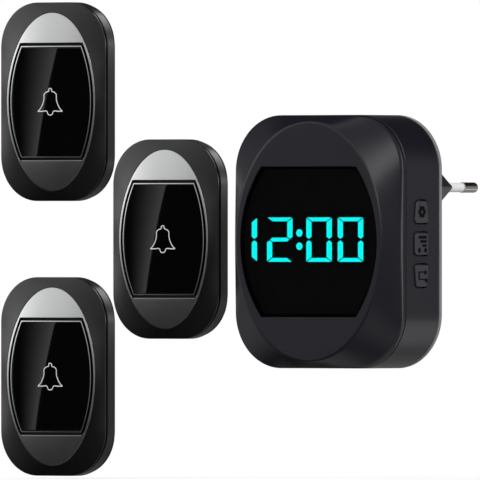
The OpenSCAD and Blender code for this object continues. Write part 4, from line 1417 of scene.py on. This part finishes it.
panel = barrel_sides("gloss_panel", PANEL_W, PANEL_H, PANEL_BOW, panel_low.y, SIDE_STEPS, centre=HOME_XZ)
pick(panel, "EDGE")
bpy.ops.mesh.bridge_edge_loops(number_cuts=SIDE_STEPS - 1, interpolation="LINEAR")
dome(panel)
begin_edit(panel)
pick(panel, "EDGE", open_only=True)
pull_rim(MM)
bpy.ops.transform.resize(value=(1.0, 0.0, 1.0), center_override=(HOME.x, FLANGE_TOP, HOME.z))
flange_run = [(FLANGE_TOP, -PANEL_FLANGE), (PANEL_BACK, -PANEL_FLANGE)]
run_rim(PANEL_W, PANEL_H, HOME_XZ, (FLANGE_TOP, 0.0), flange_run)
bpy.ops.mesh.edge_face_add()
turn_outwards()
soften(panel, PANEL_ROUND, 3)
on_every_button(panel, "gloss_panel", None, "panel_gloss", nodes=["push_panel"])

line_outer = panel_rim("line_outer", -LINE_INSET)
line_inner = panel_rim("line_inner", -LINE_INSET - LINE_W)
line = sheet_between("silver_line", line_outer, line_inner, 1, LINE_PROUD, LINE_T)
on_every_button(line, "silver_line", None, "trim_silver", silver)

# %% [markdown]
# In the middle of each panel a bell is printed as a pale outline.
# It is drawn as curves with a round section, turned into a mesh and pressed almost flat into the crown.
# A curve keeps the stroke equally wide all along, which a drawn outline of faces would not.

# %% Bell sign
BELL_STROKE = 0.2 * MM
BELL_FLAT = 0.25
# Points of the right half, in mm from the middle of the panel.
BELL_SIDE = [
    (0.0, 5.13), (0.71, 4.77), (0.66, 4.2), (1.85, 3.69), (2.62, 3.22), (3.0, 2.6), (3.0, 1.47),
    (3.2, 0.24), (3.65, -0.9), (4.43, -2.24), (5.2, -3.1), (6.04, -3.75),
]
BELL_HEM = [
    (5.95, -3.75), (4.0, -3.74), (1.7, -3.72), (1.4, -4.0), (1.22, -4.5), (0.75, -5.02), (0.0, -5.22),
]


def mirrored_path(half):
    """Half a path, given from the middle or to the middle, with its mirror image added."""
    other = [(-u, v) for u, v in reversed(half) if u > 0]
    return other + half if half[0][0] == 0 else half + other


def stroke(curve, path):
    """Adds one smooth line to the curve."""
    spline = curve.splines.new("BEZIER")
    spline.bezier_points.add(len(path) - 1)
    for point, (u, v) in zip(spline.bezier_points, path):
        point.co = (HOME.x + u * MM, CROWN_AT, HOME.z + v * MM)
        point.handle_left_type = point.handle_right_type = "AUTO"


bell_curve = bpy.data.curves.new("bell_sign", "CURVE")
bell_curve.dimensions = "3D"
bell_curve.bevel_depth = BELL_STROKE
bell_curve.bevel_resolution = 3
bell_curve.use_fill_caps = True
stroke(bell_curve, mirrored_path(BELL_SIDE))
stroke(bell_curve, mirrored_path(BELL_HEM))
bell = bpy.data.objects.new("bell_sign", bell_curve)
bpy.context.scene.collection.objects.link(bell)
alone(bell)
bpy.ops.object.convert(target="MESH")
bell = bpy.context.object
begin_edit(bell)
bpy.ops.transform.resize(value=(1.0, BELL_FLAT, 1.0), center_override=(HOME.x, CROWN_AT, HOME.z))
turn_outwards()
white = {button: sign_white for button in BUTTONS}
on_every_button(bell, "bell_sign", None, "sleeve_white", white)

# %% [markdown]
# The button's back is a shallow tray that is drawn in towards the wall, so that the unit seems to float
# there. It is pulled from the back plate outwards and round into the inside, rim by rim.
# Two holes take the wall screws. The tray stays hollow, because the cell and its clip lie in it.

# %% Back tray
tray_low, tray_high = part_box("transmitter_1_rear_cover")
TRAY_DRAW = 3 * MM
TRAY_LIP = 0.5 * MM
TRAY_PLATE = 1.3 * MM
TRAY_ROUND = 0.3 * MM
TRAY_TURN = 0.4 * MM
SCREW_HOLE = 1.8 * MM
SCREW_RISE = 30 * MM
HOLE_DEEP = 3 * MM

tray = rounded_rim(
    "back_tray", BUTTON_W, BUTTON_H, BUTTON_CORNER, tray_high.y,
    centre=HOME_XZ, inset=TRAY_DRAW + TRAY_ROUND,
)
bpy.ops.mesh.edge_face_add()
pick(tray, "EDGE", at_depth(tray_high.y))
inner_draw = TRAY_DRAW - (TRAY_DRAW - TRAY_LIP) * TRAY_PLATE / (tray_high.y - tray_low.y) + BUTTON_WALL
run_rim(BUTTON_W, BUTTON_H, HOME_XZ, (tray_high.y, TRAY_DRAW + TRAY_ROUND), [
    (tray_high.y - TRAY_TURN, TRAY_DRAW - TRAY_ROUND),
    (tray_low.y, TRAY_LIP),
    (tray_low.y, TRAY_LIP + BUTTON_WALL),
    (tray_high.y - TRAY_PLATE, inner_draw),
])
bpy.ops.mesh.edge_face_add()
turn_outwards()
carve(tray, *[
    bar_tool(SCREW_HOLE, (HOME.x, HOME.z + end * SCREW_RISE), tray_high.y - HOLE_DEEP, tray_high.y + MM)
    for end in (1, -1)
])
on_every_button(tray, "back_tray", "units", "back_black", nodes=["rear_cover"])

# %% [markdown]
# The dressed set should stay within the frame's box, so its box is printed here as the frame's was at the
# start.

# %% Sizes
low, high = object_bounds()
print("dressed box in mm:", [round(x / MM, 1) for x in (*low, *high)])
